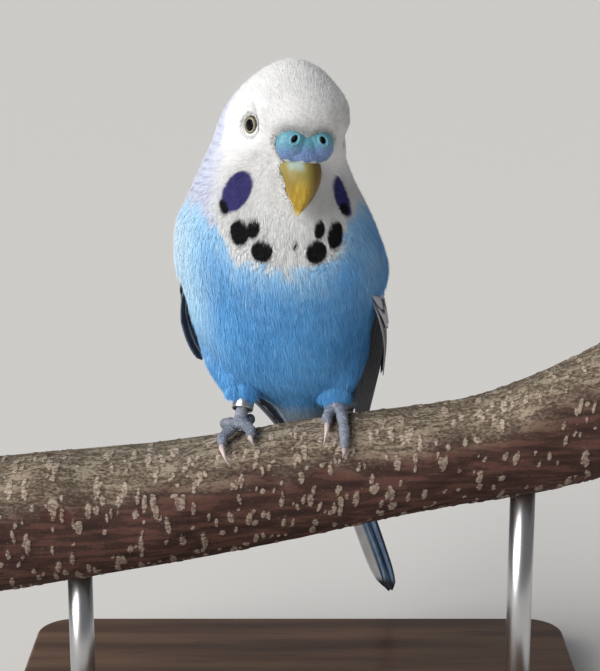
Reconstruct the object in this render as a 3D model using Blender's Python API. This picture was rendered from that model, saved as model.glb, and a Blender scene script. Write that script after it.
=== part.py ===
"""A life-size budgerigar perched on a cut length of branch, held by a plain display stand.

Units are metres with +Z up. The origin is the centre of the underside of the stand's base.
The bird's own frame has x to its left, y behind it and z up from the top of the perch.
The head's frame has x to its left, y behind it and z up from the middle of the head.
"""

import math
import random

import bmesh
import bpy
from mathutils import Matrix, Vector

MM = 0.001
GAP = 0.3 * MM

# Display stand
BASE_WIDTH = 150 * MM
BASE_DEPTH = 116 * MM
BASE_HEIGHT = 8 * MM
BASE_CORNER = 10 * MM
BASE_EDGE = 1.2 * MM
ROD_RADIUS = 3 * MM
ROD_X = 53 * MM
ROD_IN_BASE = 5 * MM
ROD_IN_PERCH = 7 * MM
ROD_SIDES = 28

# Perch: x along it, height of its axis over the floor and radius, all in millimetres
PERCH_Y = -20 * MM
PERCH_ROWS = (
    (-75, 65.8, 16.6),
    (-40, 69.6, 15.3),
    (-20, 73.2, 14.7),
    (0, 77.3, 14.3),
    (37, 83.3, 12.9),
    (56, 88.6, 14.4),
    (75, 96.0, 16.6),
)
PERCH_SIDES = 22
PERCH_RINGS = 19
# Each knot: x in millimetres, angle from the top towards the front in degrees, size and height in millimetres
PERCH_KNOTS = ((-58, 40, 7, 1.6), (-30, 95, 6, 1.2), (33, 70, 6, 1.4), (57, 30, 8, 1.8))

# Stance of the bird over the perch
STANCE_X = -6 * MM
PERCH_TOP = 91.9 * MM
BODY_YAW = -18
HEAD_YAW = 38
HEAD_ROLL = 5
HEAD_MIDDLE = (6.8 * MM, -11.2 * MM, 68 * MM)

# Head, neck and torso, level slices in millimetres: height over the perch, forward, shift to the
# bird's left, half width, reach forward and reach back of that centre, and turn in degrees
BODY_ROWS = (
    (84.6, 10.4, 7.6, 2.2, 2.8, 2.2, 38),
    (83.2, 10.2, 7.4, 5.6, 7.2, 5.6, 38),
    (81.0, 9.9, 7.0, 8.8, 11.4, 8.8, 38),
    (78.0, 9.5, 6.4, 11.6, 14.8, 11.6, 38),
    (74.4, 8.9, 5.6, 13.6, 17.0, 13.8, 38),
    (70.7, 8.2, 4.8, 14.6, 17.4, 15.2, 37),
    (67.0, 7.4, 3.9, 15.2, 16.6, 16.2, 34),
    (63.0, 6.4, 2.7, 16.3, 15.8, 16.8, 29),
    (59.5, 5.5, 2.1, 17.6, 16.0, 17.4, 22),
    (56.0, 4.6, 1.8, 19.1, 16.8, 18.2, 15),
    (52.0, 3.4, 1.5, 21.2, 18.2, 19.3, 8),
    (47.0, 1.8, 0.9, 23.6, 20.2, 20.4, 3),
    (42.0, 0.0, 0.9, 24.7, 21.4, 21.0, 0),
    (36.0, -2.0, 0.7, 25.2, 21.8, 21.4, 0),
    (30.0, -4.0, 0.6, 23.4, 21.2, 21.2, 0),
)
# Belly and rump, slices that lean back towards the tail, in millimetres: distance down the body
# from the last level slice, forward, shift to the left, height, lean in degrees, half width, reach
# forward, reach back
RUMP_ROWS = (
    (0, -4.0, 0.6, 30.0, 0, 23.4, 21.2, 21.2),
    (8, -6.4, -0.3, 22.4, 6, 21.8, 19.4, 19.6),
    (16, -10.0, -0.2, 15.2, 14, 20.0, 17.0, 16.8),
    (24, -14.6, 0.4, 8.6, 23, 16.6, 12.8, 13.6),
    (32, -20.4, 1.3, 2.8, 31, 13.0, 8.4, 10.2),
    (40, -26.4, 2.2, -2.6, 38, 10.0, 6.2, 7.6),
    (47, -31.0, 2.8, -7.4, 41, 8.4, 5.2, 5.8),
)
BODY_SIDES = 36
HEAD_RINGS = 18
NECK_RINGS = 6
TORSO_RINGS = 7
BELLY_RINGS = 9
RUMP_RINGS = 5
HEAD_CUT = 58.0
NECK_CUT = 49.0
RUMP_CUT = 30.0

# Eyes, in the head's frame
EYE_SIDE = 10.4 * MM
EYE_FORWARD = 5.2 * MM
EYE_UP = 3.4 * MM
EYE_RADIUS = 3.3 * MM
EYE_TURN = 20
LID_RADIUS = 2.25 * MM
LID_THICKNESS = 0.62 * MM
LID_SIDES = 6
EYE_PROUD = 1.15 * MM
EYE_HOLLOW = 4.6 * MM

# Cere: two swollen lobes side by side, each with a nostril, and the saddle between them
LOBE_SIDE = 2.9 * MM
LOBE_SIZE = (3.5 * MM, 2.4 * MM, 3.3 * MM)
LOBE_FORWARD = 14.2 * MM
LOBE_UP = -0.9 * MM
SADDLE_SIZE = (2.6 * MM, 2.2 * MM, 2.9 * MM)
SADDLE_FORWARD = 13.7 * MM
SADDLE_UP = -1.2 * MM
NOSTRIL_RADIUS = 0.75 * MM
NOSTRIL_DEPTH = 1.3 * MM
NOSTRIL_OUT = 0.2 * MM
NOSTRIL_UP = 0.7 * MM

# Bill, rows in millimetres in the head's frame: forward, up, half width, half depth
BILL_ROWS = (
    (8.5, -5.0, 4.2, 3.4),
    (11.6, -5.6, 4.5, 3.7),
    (13.2, -8.4, 4.1, 3.0),
    (13.3, -11.2, 2.9, 2.1),
    (12.6, -13.8, 1.5, 1.1),
    (11.6, -15.8, 0.45, 0.4),
)
LOWER_BILL_ROWS = (
    (6.0, -7.6, 2.6, 1.4),
    (8.2, -9.8, 2.5, 1.2),
    (9.4, -11.8, 1.8, 0.8),
    (9.8, -13.2, 0.8, 0.45),
)
BILL_SIDES = 16

THIGH_SIDES = 18
# Thighs, in the bird's frame in millimetres: forward, side, height, half width, half depth
THIGHS = {
    "right": (
        (-6.0, -14.0, 22.0, 6.4, 6.8),
        (-5.6, -14.4, 16.0, 6.8, 7.2),
        (-4.8, -13.2, 11.0, 5.4, 5.6),
        (-3.4, -11.4, 7.4, 3.8, 4.0),
        (-2.6, -10.4, 5.6, 2.9, 3.1),
    ),
    "left": (
        (-10.0, 13.6, 21.0, 6.4, 6.8),
        (-9.8, 14.4, 15.6, 6.6, 7.0),
        (-9.2, 14.6, 11.0, 5.0, 5.2),
        (-8.4, 14.4, 8.0, 3.7, 3.9),
        (-7.6, 14.3, 6.2, 2.8, 3.0),
    ),
}

# Feet: each is named by where its sole lies along the perch and by where its shank comes from
FOOT_X = {"right": -14.1 * MM, "left": 8.6 * MM}
FOOT_ANGLE = {"right": 4, "left": 2}
SHANK_TOP = {"right": (-12.6 * MM, 4.4 * MM, 7.4 * MM), "left": (8.4 * MM, 6.4 * MM, 10.2 * MM)}
SHANK_RADIUS = 1.45 * MM
SHANK_SIDES = 12
SOLE_SIZE = (2.3 * MM, 2.1 * MM, 1.5 * MM)
TOE_RADIUS = 1.38 * MM
TOE_RINGS = 8
TOE_SIDES = 7
CLAW_RADIUS = 0.8 * MM
CLAW_RINGS = 6
CLAW_SIDES = 6
# Angle from a toe's end to its claw, which leaves the gap between them
CLAW_START = 2.4
# Toes: sideways at the root and tip in millimetres, angle of the tip round the perch, and the
# claw's sideways turn in millimetres and its tip's angle, both from the toe's end
TOES = {
    "right": {
        "outer": (-1.0, -4.0, 29, 2.0, 50),
        "inner": (1.0, 2.6, 25, 1.0, 36),
        "back_outer": (-1.0, -3.8, -34, -0.6, -46),
        "back_inner": (1.0, 2.2, -20, 0.2, -30),
    },
    "left": {
        "outer": (0.8, 1.6, 53, -0.8, 68),
        "inner": (-1.2, -2.3, 24, -0.9, 46),
        "back_outer": (1.0, 3.4, -32, 0.6, -44),
        "back_inner": (-1.0, -1.8, -15.5, -0.2, -24),
    },
}

# Leg ring on the bird's right shank
RING_INNER = 2.05 * MM
RING_WALL = 0.5 * MM
RING_HEIGHT = 3.0 * MM
RING_ALONG = 0.52

# Wing sheets, in the bird's frame in millimetres: share of the length, then the lower edge and
# the upper edge as forward, side and height, and how far the sheet bulges between them
WING_ROWS = (
    (0.0, (12, 16, 50), (-9, 10, 57), 2.5),
    (0.22, (4, 23.0, 36), (-18, 9, 45), 4.5),
    (0.45, (-6, 25.2, 20), (-28, 5.5, 27), 5.6),
    (0.65, (-16, 21.0, 4), (-35, 4.0, 9), 4.0),
    (0.85, (-32, 15.5, -12), (-44, 3.5, -6), 2.0),
    (1.0, (-45, 13.0, -25), (-54, 3.0, -19), 1.0),
)
WING_OUT = {"right": 0.8, "left": -0.8}
# The flesh of the wing under its feathers: how far along it reaches, and in millimetres the lift of
# its middle and its half thickness; it narrows towards the shoulder
WING_CORE_END = 0.6
WING_CORE_LIFT = -0.6
WING_CORE_HALF = 0.9
WING_SHOULDER = 0.14
# Tiers of wing feathers, from the flights up to the small coverts: count, share of the wing's length
# at the roots, place across of the first and last root, share of the length at the first and last
# tip and how it falls between them, place across of the first and last tip, half width, lift of the
# roots, lift of the first and last tip, these in millimetres
WING_TIERS = (
    (7, 0.26, (0.18, 0.60), (0.99, 0.74, 1.8), (0.32, 0.83), 3.3, -0.9, (-1.2, 0.0)),
    (7, 0.16, (0.24, 0.78), (0.60, 0.72, 1.0), (0.13, 0.87), 3.3, -0.6, (0.25, 0.97)),
    (7, 0.10, (0.24, 0.79), (0.38, 0.41, 1.0), (0.10, 0.88), 2.9, -0.5, (0.95, 1.45)),
    (6, 0.03, (0.24, 0.79), (0.23, 0.26, 1.0), (0.10, 0.88), 3.0, -0.5, (1.3, 1.8)),
)
# How far chance moves a tip, as a share of the wing's length, and its seed
WING_STRAY = 0.008
WING_SEED = 3

# Vanes: thickness in millimetres, and the outline as share of the length and of the full half width
VANE_THICK = 0.7
VANE_OUTLINE = ((0, 0.5), (0.22, 0.8), (0.5, 1.0), (0.78, 0.95), (0.93, 0.62), (1.0, 0.16))

# Tail: a sheet that runs down from its root, in the bird's frame in millimetres
TAIL_ROOT = (-31.6, 2.8, -8.0)
TAIL_TIP = (-91.0, 4.6, -79.5)
# The flesh at its root: length, half width at both ends and half thickness
TAIL_CORE_LENGTH = 20
TAIL_CORE_WIDTHS = (6.6, 5.0)
TAIL_CORE_HALF = 1.5
# How much the tail rounds over from side to side, per square millimetre
TAIL_ROUND = 0.018
# Pairs of tail feathers from the middle outwards: length as a share of the tail, distance of the tip
# from the middle, half width and lift, in millimetres
TAIL_PAIRS = (
    (1.0, 0.55, 2.6, 1.0),
    (0.85, 1.6, 2.4, 0.65),
    (0.70, 2.7, 2.5, 0.3),
    (0.58, 3.7, 2.6, -0.05),
    (0.47, 4.5, 2.6, -0.4),
    (0.38, 5.2, 2.6, -0.75),
)
# Coverts over and under the root of the tail, in millimetres: count, reach along the tail, spread
# of the tips to each side, half width, lift at the root and at the tip
TAIL_COVERTS = (
    (5, 27, 4.6, 2.9, 3.9, 2.6),
    (5, 23, 4.2, 2.9, -3.7, -2.6),
)
TAIL_COVERT_ROOT = -7
# How far chance moves the tip of a tail covert, in millimetres, and its seed
TAIL_STRAY = 0.8
TAIL_SEED = 5


def smooth_row(rows, x):
    """The row at x of a table whose first column rises or falls, on a smooth curve through its rows."""
    keys = [row[0] for row in rows]
    falls = keys[0] > keys[-1]
    last = len(rows) - 2
    i = 0
    while i < last and (x < keys[i + 1] if falls else x > keys[i + 1]):
        i += 1
    before, after = rows[max(i - 1, 0)], rows[min(i + 2, len(rows) - 1)]
    here, there = rows[i], rows[i + 1]
    step = there[0] - here[0]
    t = (x - here[0]) / step
    values = []
    for k in range(1, len(here)):
        slope_here = (there[k] - before[k]) / (there[0] - before[0])
        slope_there = (after[k] - here[k]) / (after[0] - here[0])
        cubic = (2 * t**3 - 3 * t**2 + 1) * here[k] + (3 * t**2 - 2 * t**3) * there[k]
        cubic += (t**3 - 2 * t**2 + t) * step * slope_here + (t**3 - t**2) * step * slope_there
        values.append(cubic)
    return values


def spread(first, last, count):
    return [first + (last - first) * i / (count - 1) for i in range(count)]


def bird_point(forward, side, height):
    """A point of the bird's frame, from millimetres."""
    return Vector((side, -forward, height)) * MM


def make_material(name, colour, roughness, metallic=0.0):
    material = bpy.data.materials.new(name)
    material.use_nodes = True
    shader = material.node_tree.nodes["Principled BSDF"]
    shader.inputs["Base Color"].default_value = (*colour, 1)
    shader.inputs["Roughness"].default_value = roughness
    shader.inputs["Metallic"].default_value = metallic
    return material


def make_object(name, shape, material=None, parent=None):
    """A new object of the part from a bmesh, with its faces turned outwards."""
    bmesh.ops.recalc_face_normals(shape, faces=shape.faces)
    mesh = bpy.data.meshes.new(name)
    shape.to_mesh(mesh)
    shape.free()
    obj = bpy.data.objects.new(name, mesh)
    if material:
        mesh.materials.append(material)
    obj.parent = parent
    bpy.data.collections["budgerigar"].objects.link(obj)
    return obj


def loft(rings):
    """A closed body through rings of equal length, with a fan over each end."""
    shape = bmesh.new()
    loops = [[shape.verts.new(point) for point in ring] for ring in rings]
    count = len(loops[0])
    for near, far in zip(loops, loops[1:]):
        for i in range(count):
            j = (i + 1) % count
            shape.faces.new((near[i], near[j], far[j], far[i]))
    for loop in (loops[0], loops[-1]):
        middle = shape.verts.new(sum((v.co for v in loop), Vector()) / count)
        for i in range(count):
            shape.faces.new((loop[i], loop[(i + 1) % count], middle))
    return shape


def horn(rows, sides, turn=None):
    """A bent, tapering horn from rows of a centre point, half width and half depth."""
    rings = []
    for i, (centre, half_width, half_depth) in enumerate(rows):
        ahead = rows[min(i + 1, len(rows) - 1)][0] - rows[max(i - 1, 0)][0]
        across = (turn or Vector((1, 0, 0))).normalized()
        across = (across - ahead.normalized() * across.dot(ahead.normalized())).normalized()
        deep = ahead.normalized().cross(across)
        ring = []
        for k in range(sides):
            angle = math.tau * k / sides
            ring.append(centre + across * half_width * math.cos(angle) + deep * half_depth * math.sin(angle))
        rings.append(ring)
    return loft(rings)


def apply_modifiers(obj):
    bpy.context.view_layer.update()
    graph = bpy.context.evaluated_depsgraph_get()
    mesh = bpy.data.meshes.new_from_object(obj.evaluated_get(graph))
    old = obj.data
    obj.modifiers.clear()
    obj.data = mesh
    bpy.data.meshes.remove(old)


def keep_largest(obj):
    """Only the largest closed surface of the object stays."""
    shape = bmesh.new()
    shape.from_mesh(obj.data)
    unseen = set(shape.verts)
    islands = []
    while unseen:
        island = {unseen.pop()}
        edge = list(island)
        while edge:
            for link in edge.pop().link_edges:
                for vert in link.verts:
                    if vert in unseen:
                        unseen.remove(vert)
                        island.add(vert)
                        edge.append(vert)
        islands.append(island)

    def box_size(island):
        spans = [max(v.co[k] for v in island) - min(v.co[k] for v in island) for k in range(3)]
        return spans[0] * spans[1] * spans[2]

    islands.sort(key=box_size)
    for island in islands[:-1]:
        bmesh.ops.delete(shape, geom=list(island), context="VERTS")
    shape.to_mesh(obj.data)
    shape.free()


def combine(obj, pieces, operation="UNION", solver="EXACT"):
    """Joins the pieces to the object, or cuts them from it, and removes them."""
    gathered = bpy.data.collections.new("gathered")
    bpy.context.scene.collection.children.link(gathered)
    for piece in pieces:
        for holder in list(piece.users_collection):
            holder.objects.unlink(piece)
        gathered.objects.link(piece)
    boolean = obj.modifiers.new("Combine", "BOOLEAN")
    boolean.operand_type = "COLLECTION"
    boolean.collection = gathered
    boolean.operation = operation
    boolean.solver = solver
    apply_modifiers(obj)
    for piece in pieces:
        bpy.data.objects.remove(piece)
    bpy.data.collections.remove(gathered)
    keep_largest(obj)


def body_centre_and_axes(row):
    """Centre, forward, sideways and half sizes of a level slice."""
    height, forward, shift, half_width, reach, back, turn = row
    angle = math.radians(turn)
    ahead = Vector((math.sin(angle), -math.cos(angle), 0))
    side = Vector((math.cos(angle), math.sin(angle), 0))
    return bird_point(forward, shift, height), ahead, side, half_width * MM, reach * MM, back * MM


def slice_ring(centre, ahead, side, half_width, reach, back, grow=0.0):
    ring = []
    for k in range(BODY_SIDES):
        angle = math.tau * k / BODY_SIDES
        deep = (reach if math.cos(angle) > 0 else back) + grow
        out = ahead * deep * math.cos(angle) + side * (half_width + grow) * math.sin(angle)
        ring.append(centre + out)
    return ring


def level_ring(height, grow=0.0):
    row = (height, *smooth_row(BODY_ROWS, height))
    return slice_ring(*body_centre_and_axes(row), grow)


def rump_ring(distance, grow=0.0):
    forward, shift, height, lean, half_width, reach, back = smooth_row(RUMP_ROWS, distance)
    angle = math.radians(lean)
    ahead = Vector((0, -math.cos(angle), -math.sin(angle)))
    centre = bird_point(forward, shift, height)
    return slice_ring(centre, ahead, Vector((1, 0, 0)), half_width * MM, reach * MM, back * MM, grow)


def hollow_at_eyes(head):
    """Presses the side of the face in round each eye, down to the plane of its lids."""
    for side in ("left", "right"):
        to_eye = (head_matrix() @ eye_place(side)).inverted()
        out_of_eye = to_eye.inverted()
        plane = EYE_RADIUS - EYE_PROUD
        for vert in head.data.vertices:
            local = to_eye @ vert.co
            if local.z < plane:
                continue
            away = math.hypot(local.x, local.y) / EYE_HOLLOW
            local.z += (plane - local.z) * math.exp(-(away**4))
            vert.co = out_of_eye @ local


def head_matrix():
    """The head's frame, in the bird's frame."""
    turn = Matrix.Rotation(math.radians(HEAD_YAW), 4, "Z") @ Matrix.Rotation(math.radians(HEAD_ROLL), 4, "Y")
    return Matrix.Translation(HEAD_MIDDLE) @ turn


def make_body(stance, feathers):
    """Head, neck, torso and rump: one form, parted by level and slanting cuts."""
    gap = GAP / MM
    top = BODY_ROWS[0][0]
    head_rings = [level_ring(z) for z in spread(top, HEAD_CUT, HEAD_RINGS)]
    head = make_object("head", loft(head_rings), feathers["head"], stance)
    hollow_at_eyes(head)
    neck_rings = [level_ring(z) for z in spread(HEAD_CUT - gap, NECK_CUT, NECK_RINGS)]
    neck = make_object("neck", loft(neck_rings), feathers["neck"], stance)
    low = BODY_ROWS[-1][0]
    torso_rings = [level_ring(z) for z in spread(NECK_CUT - gap, low, TORSO_RINGS)]
    torso_rings += [rump_ring(d) for d in spread(0, RUMP_CUT, BELLY_RINGS)[1:]]
    torso = make_object("torso", loft(torso_rings), feathers["torso"], stance)
    rump_rings = [rump_ring(d) for d in spread(RUMP_CUT + gap, RUMP_ROWS[-1][0], RUMP_RINGS)]
    rump = make_object("rump", loft(rump_rings), feathers["rump"], stance)
    return head, neck, torso, rump


def body_clearance(stance):
    """The outer form of neck, torso and rump, a gap larger."""
    rings = [level_ring(z, GAP) for z in spread(62.0, BODY_ROWS[-1][0], 12)]
    rings += [rump_ring(d, GAP) for d in spread(0, RUMP_ROWS[-1][0] + 1, 14)[1:]]
    return make_object("clearance", loft(rings), None, stance)


def ellipsoid(centre, sizes, segments=14, rings=8):
    shape = bmesh.new()
    bmesh.ops.create_uvsphere(shape, u_segments=segments, v_segments=rings, radius=1)
    place = Matrix.Translation(centre) @ Matrix.Diagonal((*sizes, 1))
    bmesh.ops.transform(shape, matrix=place, verts=shape.verts)
    return shape


def eye_place(side):
    """Frame of an eye: z runs out along its axis, from the middle of the ball."""
    sign = 1 if side == "left" else -1
    aside = Matrix.Rotation(math.radians(sign * 90), 4, "Y")
    turn = Matrix.Rotation(math.radians(-sign * EYE_TURN), 4, "Z") @ aside
    out = turn @ Vector((0, 0, 1))
    front = Vector((sign * EYE_SIDE, -EYE_FORWARD, EYE_UP))
    return Matrix.Translation(front - out * EYE_RADIUS) @ turn


def make_eye(side, pose, material):
    return make_object(f"eye_{side}", ball_in(eye_place(side), EYE_RADIUS), material, pose)


def ball_in(place, radius, segments=16, rings=9):
    shape = bmesh.new()
    bmesh.ops.create_uvsphere(shape, u_segments=segments, v_segments=rings, radius=radius)
    bmesh.ops.transform(shape, matrix=place, verts=shape.verts)
    return shape


def lid_ring(side, pose):
    """A raised rim of skin round the opening of an eye, a little taller than wide."""
    shape = bmesh.new()
    profile = []
    for k in range(LID_SIDES):
        angle = math.tau * k / LID_SIDES
        x = LID_RADIUS + LID_THICKNESS * math.cos(angle)
        profile.append(shape.verts.new((x, 0, EYE_RADIUS - EYE_PROUD + LID_THICKNESS * math.sin(angle))))
    edges = [shape.edges.new((profile[k], profile[(k + 1) % LID_SIDES])) for k in range(LID_SIDES)]
    bmesh.ops.spin(
        shape, geom=profile + edges, axis=(0, 0, 1), cent=(0, 0, 0), angle=math.tau, steps=18, use_merge=True
    )
    bmesh.ops.remove_doubles(shape, verts=shape.verts, dist=1e-6)
    bmesh.ops.transform(shape, matrix=eye_place(side), verts=shape.verts)
    return make_object(f"lid_{side}", shape, None, pose)


def cere_shape(grow=0.0):
    """The saddle and the two lobes, each larger by a gap where it cuts others."""
    rows = [(0, SADDLE_FORWARD, SADDLE_UP, SADDLE_SIZE)]
    rows += [(sign * LOBE_SIDE, LOBE_FORWARD, LOBE_UP, LOBE_SIZE) for sign in (1, -1)]
    shapes = []
    for side, forward, up, sizes in rows:
        grown = [size + grow for size in sizes]
        shapes.append(ellipsoid(Vector((side, sizes[1] - forward, up)), grown))
    return shapes


def bill_shape(rows, grow=0.0):
    placed = []
    for forward, up, half_width, half_depth in rows:
        placed.append((Vector((0, -forward, up)) * MM, half_width * MM + grow, half_depth * MM + grow))
    if grow:
        along = (placed[-1][0] - placed[-2][0]).normalized()
        placed[-1] = (placed[-1][0] + along * grow, placed[-1][1], placed[-1][2])
    return horn(placed, BILL_SIDES)


def make_face(pose, head, neck, materials):
    """Cere, bill and eyes, with the pockets that they sit in."""
    saddle, *lobes = cere_shape()
    cere = make_object("cere", saddle, materials["cere"], pose)
    combine(cere, [make_object("lobe", lobe, None, pose) for lobe in lobes])
    pits = []
    for sign in (1, -1):
        pit = Vector((sign * (LOBE_SIDE + NOSTRIL_OUT), -LOBE_FORWARD, NOSTRIL_UP + LOBE_UP))
        sizes = (NOSTRIL_RADIUS, NOSTRIL_DEPTH, NOSTRIL_RADIUS * 1.2)
        pits.append(make_object("pit", ellipsoid(pit, sizes, segments=12, rings=8), None, pose))
    combine(cere, pits, "DIFFERENCE")
    upper = make_object("beak_upper", bill_shape(BILL_ROWS), materials["beak"], pose)
    room = [make_object("cere_room", shape, None, pose) for shape in cere_shape(GAP)]
    combine(upper, room, "DIFFERENCE")
    lower = make_object("beak_lower", bill_shape(LOWER_BILL_ROWS), materials["beak"], pose)
    combine(lower, [make_object("bill_room", bill_shape(BILL_ROWS, GAP), None, pose)], "DIFFERENCE")
    combine(head, [lid_ring(side, pose) for side in ("left", "right")])
    for node in (head, neck):
        cutters = [make_object("room", shape, None, pose) for shape in cere_shape(GAP)]
        cutters.append(make_object("room", bill_shape(BILL_ROWS, GAP), None, pose))
        cutters.append(make_object("room", bill_shape(LOWER_BILL_ROWS, GAP), None, pose))
        for side in ("left", "right"):
            cutters.append(make_object("room", ball_in(eye_place(side), EYE_RADIUS + GAP), None, pose))
        combine(node, cutters, "DIFFERENCE")
    for side in ("left", "right"):
        make_eye(side, pose, materials["eye"])


def perch_row(x):
    """Height of the perch's axis and its radius at x, in metres."""
    height, radius = smooth_row(PERCH_ROWS, x / MM)
    return height * MM, radius * MM


def perch_point(x, angle, out=0.0):
    """A point over the bark: angle in degrees from the top towards the front, out in metres from the bark."""
    height, radius = perch_row(x)
    turn = math.radians(angle)
    return Vector((x, PERCH_Y - (radius + out) * math.sin(turn), height + (radius + out) * math.cos(turn)))


def bark_height(x, angle):
    """How far the bark stands proud of the plain round at a place, in metres."""
    rise = 0.35 * math.sin(3 * math.radians(angle) + x / (11 * MM)) - 0.35
    for knot_x, knot_angle, size, height in PERCH_KNOTS:
        along = (x / MM - knot_x) / size
        around = math.radians(angle - knot_angle) * 15 / size
        rise += height * math.exp(-(along**2) - around**2)
    return rise * MM


def make_perch(material):
    rings = []
    for x in spread(PERCH_ROWS[0][0] * MM, PERCH_ROWS[-1][0] * MM, PERCH_RINGS):
        ring = []
        for k in range(PERCH_SIDES):
            angle = 360 * k / PERCH_SIDES
            angle -= 360 if angle > 180 else 0
            ring.append(perch_point(x, angle, bark_height(x, angle)))
        rings.append(ring)
    return make_object("perch", loft(rings), material)


def upright_rod(name, x, low, high, radius, material=None):
    shape = bmesh.new()
    bmesh.ops.create_cone(
        shape, cap_ends=True, segments=ROD_SIDES, radius1=radius, radius2=radius, depth=high - low
    )
    bmesh.ops.translate(shape, vec=(x, PERCH_Y, (low + high) / 2), verts=shape.verts)
    return make_object(name, shape, material)


def make_stand(perch, materials):
    """The base, with two rods that sit in holes in it and in the underside of the perch."""
    shape = bmesh.new()
    bmesh.ops.create_cube(shape, size=1)
    bmesh.ops.scale(shape, vec=(BASE_WIDTH, BASE_DEPTH, BASE_HEIGHT), verts=shape.verts)
    bmesh.ops.translate(shape, vec=(0, 0, BASE_HEIGHT / 2), verts=shape.verts)
    upright = [e for e in shape.edges if abs(e.verts[0].co.z - e.verts[1].co.z) > BASE_HEIGHT / 2]
    bmesh.ops.bevel(
        shape, geom=upright, offset=BASE_CORNER, segments=6, profile=0.5, affect="EDGES", material=-1
    )
    rim = [e for e in shape.edges if min(v.co.z for v in e.verts) > BASE_HEIGHT - 1e-6]
    bmesh.ops.bevel(shape, geom=rim, offset=BASE_EDGE, segments=2, profile=0.5, affect="EDGES", material=-1)
    base = make_object("stand_base", shape, materials["base"])
    base_holes, perch_holes = [], []
    for side, sign in (("left", 1), ("right", -1)):
        x = sign * ROD_X
        height, radius = perch_row(x)
        foot = BASE_HEIGHT - ROD_IN_BASE
        head = height - radius + ROD_IN_PERCH
        upright_rod(f"stand_rod_{side}", x, foot + GAP, head - GAP, ROD_RADIUS, materials["rod"])
        base_holes.append(upright_rod("hole", x, foot, foot + BASE_HEIGHT, ROD_RADIUS + GAP))
        perch_holes.append(upright_rod("hole", x, head - 3 * ROD_IN_PERCH, head, ROD_RADIUS + GAP))
    combine(base, base_holes, "DIFFERENCE")
    combine(perch, perch_holes, "DIFFERENCE")


def tube(points, radii, sides):
    across = Vector((0, 0, 1)).cross(points[-1] - points[0])
    if across.length < 1e-7:
        across = Vector((1, 0, 0))
    return horn([(p, r, r) for p, r in zip(points, radii)], sides, across)


def toe_points(side, name):
    """Points down the middle of a toe, from the sole to its end."""
    start, end, tip_angle, _, _ = TOES[side][name]
    points = []
    for t in spread(0, 1, TOE_RINGS):
        x = FOOT_X[side] + (start + (end - start) * min(1, 1.6 * t)) * MM
        angle = FOOT_ANGLE[side] + (tip_angle - FOOT_ANGLE[side]) * t
        points.append(perch_point(x, angle, GAP * 1.6 + TOE_RADIUS * (1.12 - 0.22 * t)))
    return points


def toe_radii():
    """A toe is thicker at its pads and joints, and rounds off at its end."""
    radii = []
    for t in spread(0, 1, TOE_RINGS):
        radii.append(TOE_RADIUS * (1.05 - 0.22 * t + 0.07 * math.cos(t * 6 * math.pi)))
    radii[-1] *= 0.72
    return radii


def claw_points(side, name):
    start, end, tip_angle, turn, claw_angle = TOES[side][name]
    points = []
    sign = 1 if tip_angle > 0 else -1
    first = tip_angle + sign * CLAW_START
    for t in spread(0, 1, CLAW_RINGS):
        x = FOOT_X[side] + (end + turn * t * t) * MM
        angle = first + (claw_angle - first) * t
        out = GAP + CLAW_RADIUS + (0.9 * math.sin(math.pi * min(1, t * 1.1)) + 0.35) * MM
        points.append(perch_point(x, angle, out))
    return points


def shank_ends(side):
    top = SHANK_TOP[side]
    upper = Vector((top[0], PERCH_Y + top[1], PERCH_TOP + top[2]))
    lower = perch_point(FOOT_X[side], FOOT_ANGLE[side], GAP * 2 + TOE_RADIUS * 1.3)
    return upper, lower


def make_foot(side, materials):
    """Shank, sole and four toes in one node, and a node for each claw."""
    upper, lower = shank_ends(side)
    rows = []
    for share, swell in ((0, 1.0), (0.5, 1.0), (1, 1.2)):
        rows.append((upper.lerp(lower, share), SHANK_RADIUS * swell, SHANK_RADIUS * swell))
    foot = make_object(f"foot_{side}", horn(rows, SHANK_SIDES), materials["foot"])
    pieces = [make_object("sole", ellipsoid(lower - Vector((0, 0, 0.2 * MM)), SOLE_SIZE))]
    for name in TOES[side]:
        pieces.append(make_object(name, tube(toe_points(side, name), toe_radii(), TOE_SIDES)))
    combine(foot, pieces)
    bark = make_perch(None)
    bark.name = "bark_room"
    combine_room(foot, bark)
    for name in TOES[side]:
        radii = [CLAW_RADIUS * (1 - 0.8 * t) for t in spread(0, 1, CLAW_RINGS)]
        claw = tube(claw_points(side, name), radii, CLAW_SIDES)
        make_object(f"claw_{side}_{name}", claw, materials["claw"])


def combine_room(foot, bark):
    """Trims the foot clear of the bark by a gap."""
    shape = bmesh.new()
    shape.from_mesh(bark.data)
    shape.normal_update()
    for vert in shape.verts:
        vert.co += vert.normal * GAP
    shape.to_mesh(bark.data)
    shape.free()
    combine(foot, [bark], "DIFFERENCE")


def thigh_rows(side, grow=0.0):
    """Centre, half width and half depth down a thigh, each way larger by a gap where it cuts others."""
    rows = []
    for forward, lateral, height, half_width, half_depth in THIGHS[side]:
        rows.append((bird_point(forward, lateral, height), half_width * MM + grow, half_depth * MM + grow))
    first, last = rows[0], rows[-1]
    rows[0] = (first[0] + Vector((0, 0, grow)), first[1], first[2])
    rows[-1] = (last[0] - Vector((0, 0, grow)), last[1], last[2])
    return rows


def thigh_room(side, stance):
    """The space that a thigh takes from its neighbours."""
    return make_object("room", horn(thigh_rows(side, GAP), THIGH_SIDES), None, stance)


def make_thigh(side, stance, torso, material):
    thigh = make_object(f"thigh_{side}", horn(thigh_rows(side), THIGH_SIDES), material, stance)
    combine(torso, [thigh_room(side, stance)], "DIFFERENCE")
    upper, lower = shank_ends(side)
    rise = (upper - lower).normalized() * GAP
    radius = SHANK_RADIUS + GAP
    for node in (thigh, torso):
        room = horn([(upper + rise, radius, radius), (lower, radius * 1.2, radius * 1.2)], SHANK_SIDES)
        combine(node, [make_object("room", room)], "DIFFERENCE")


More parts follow.
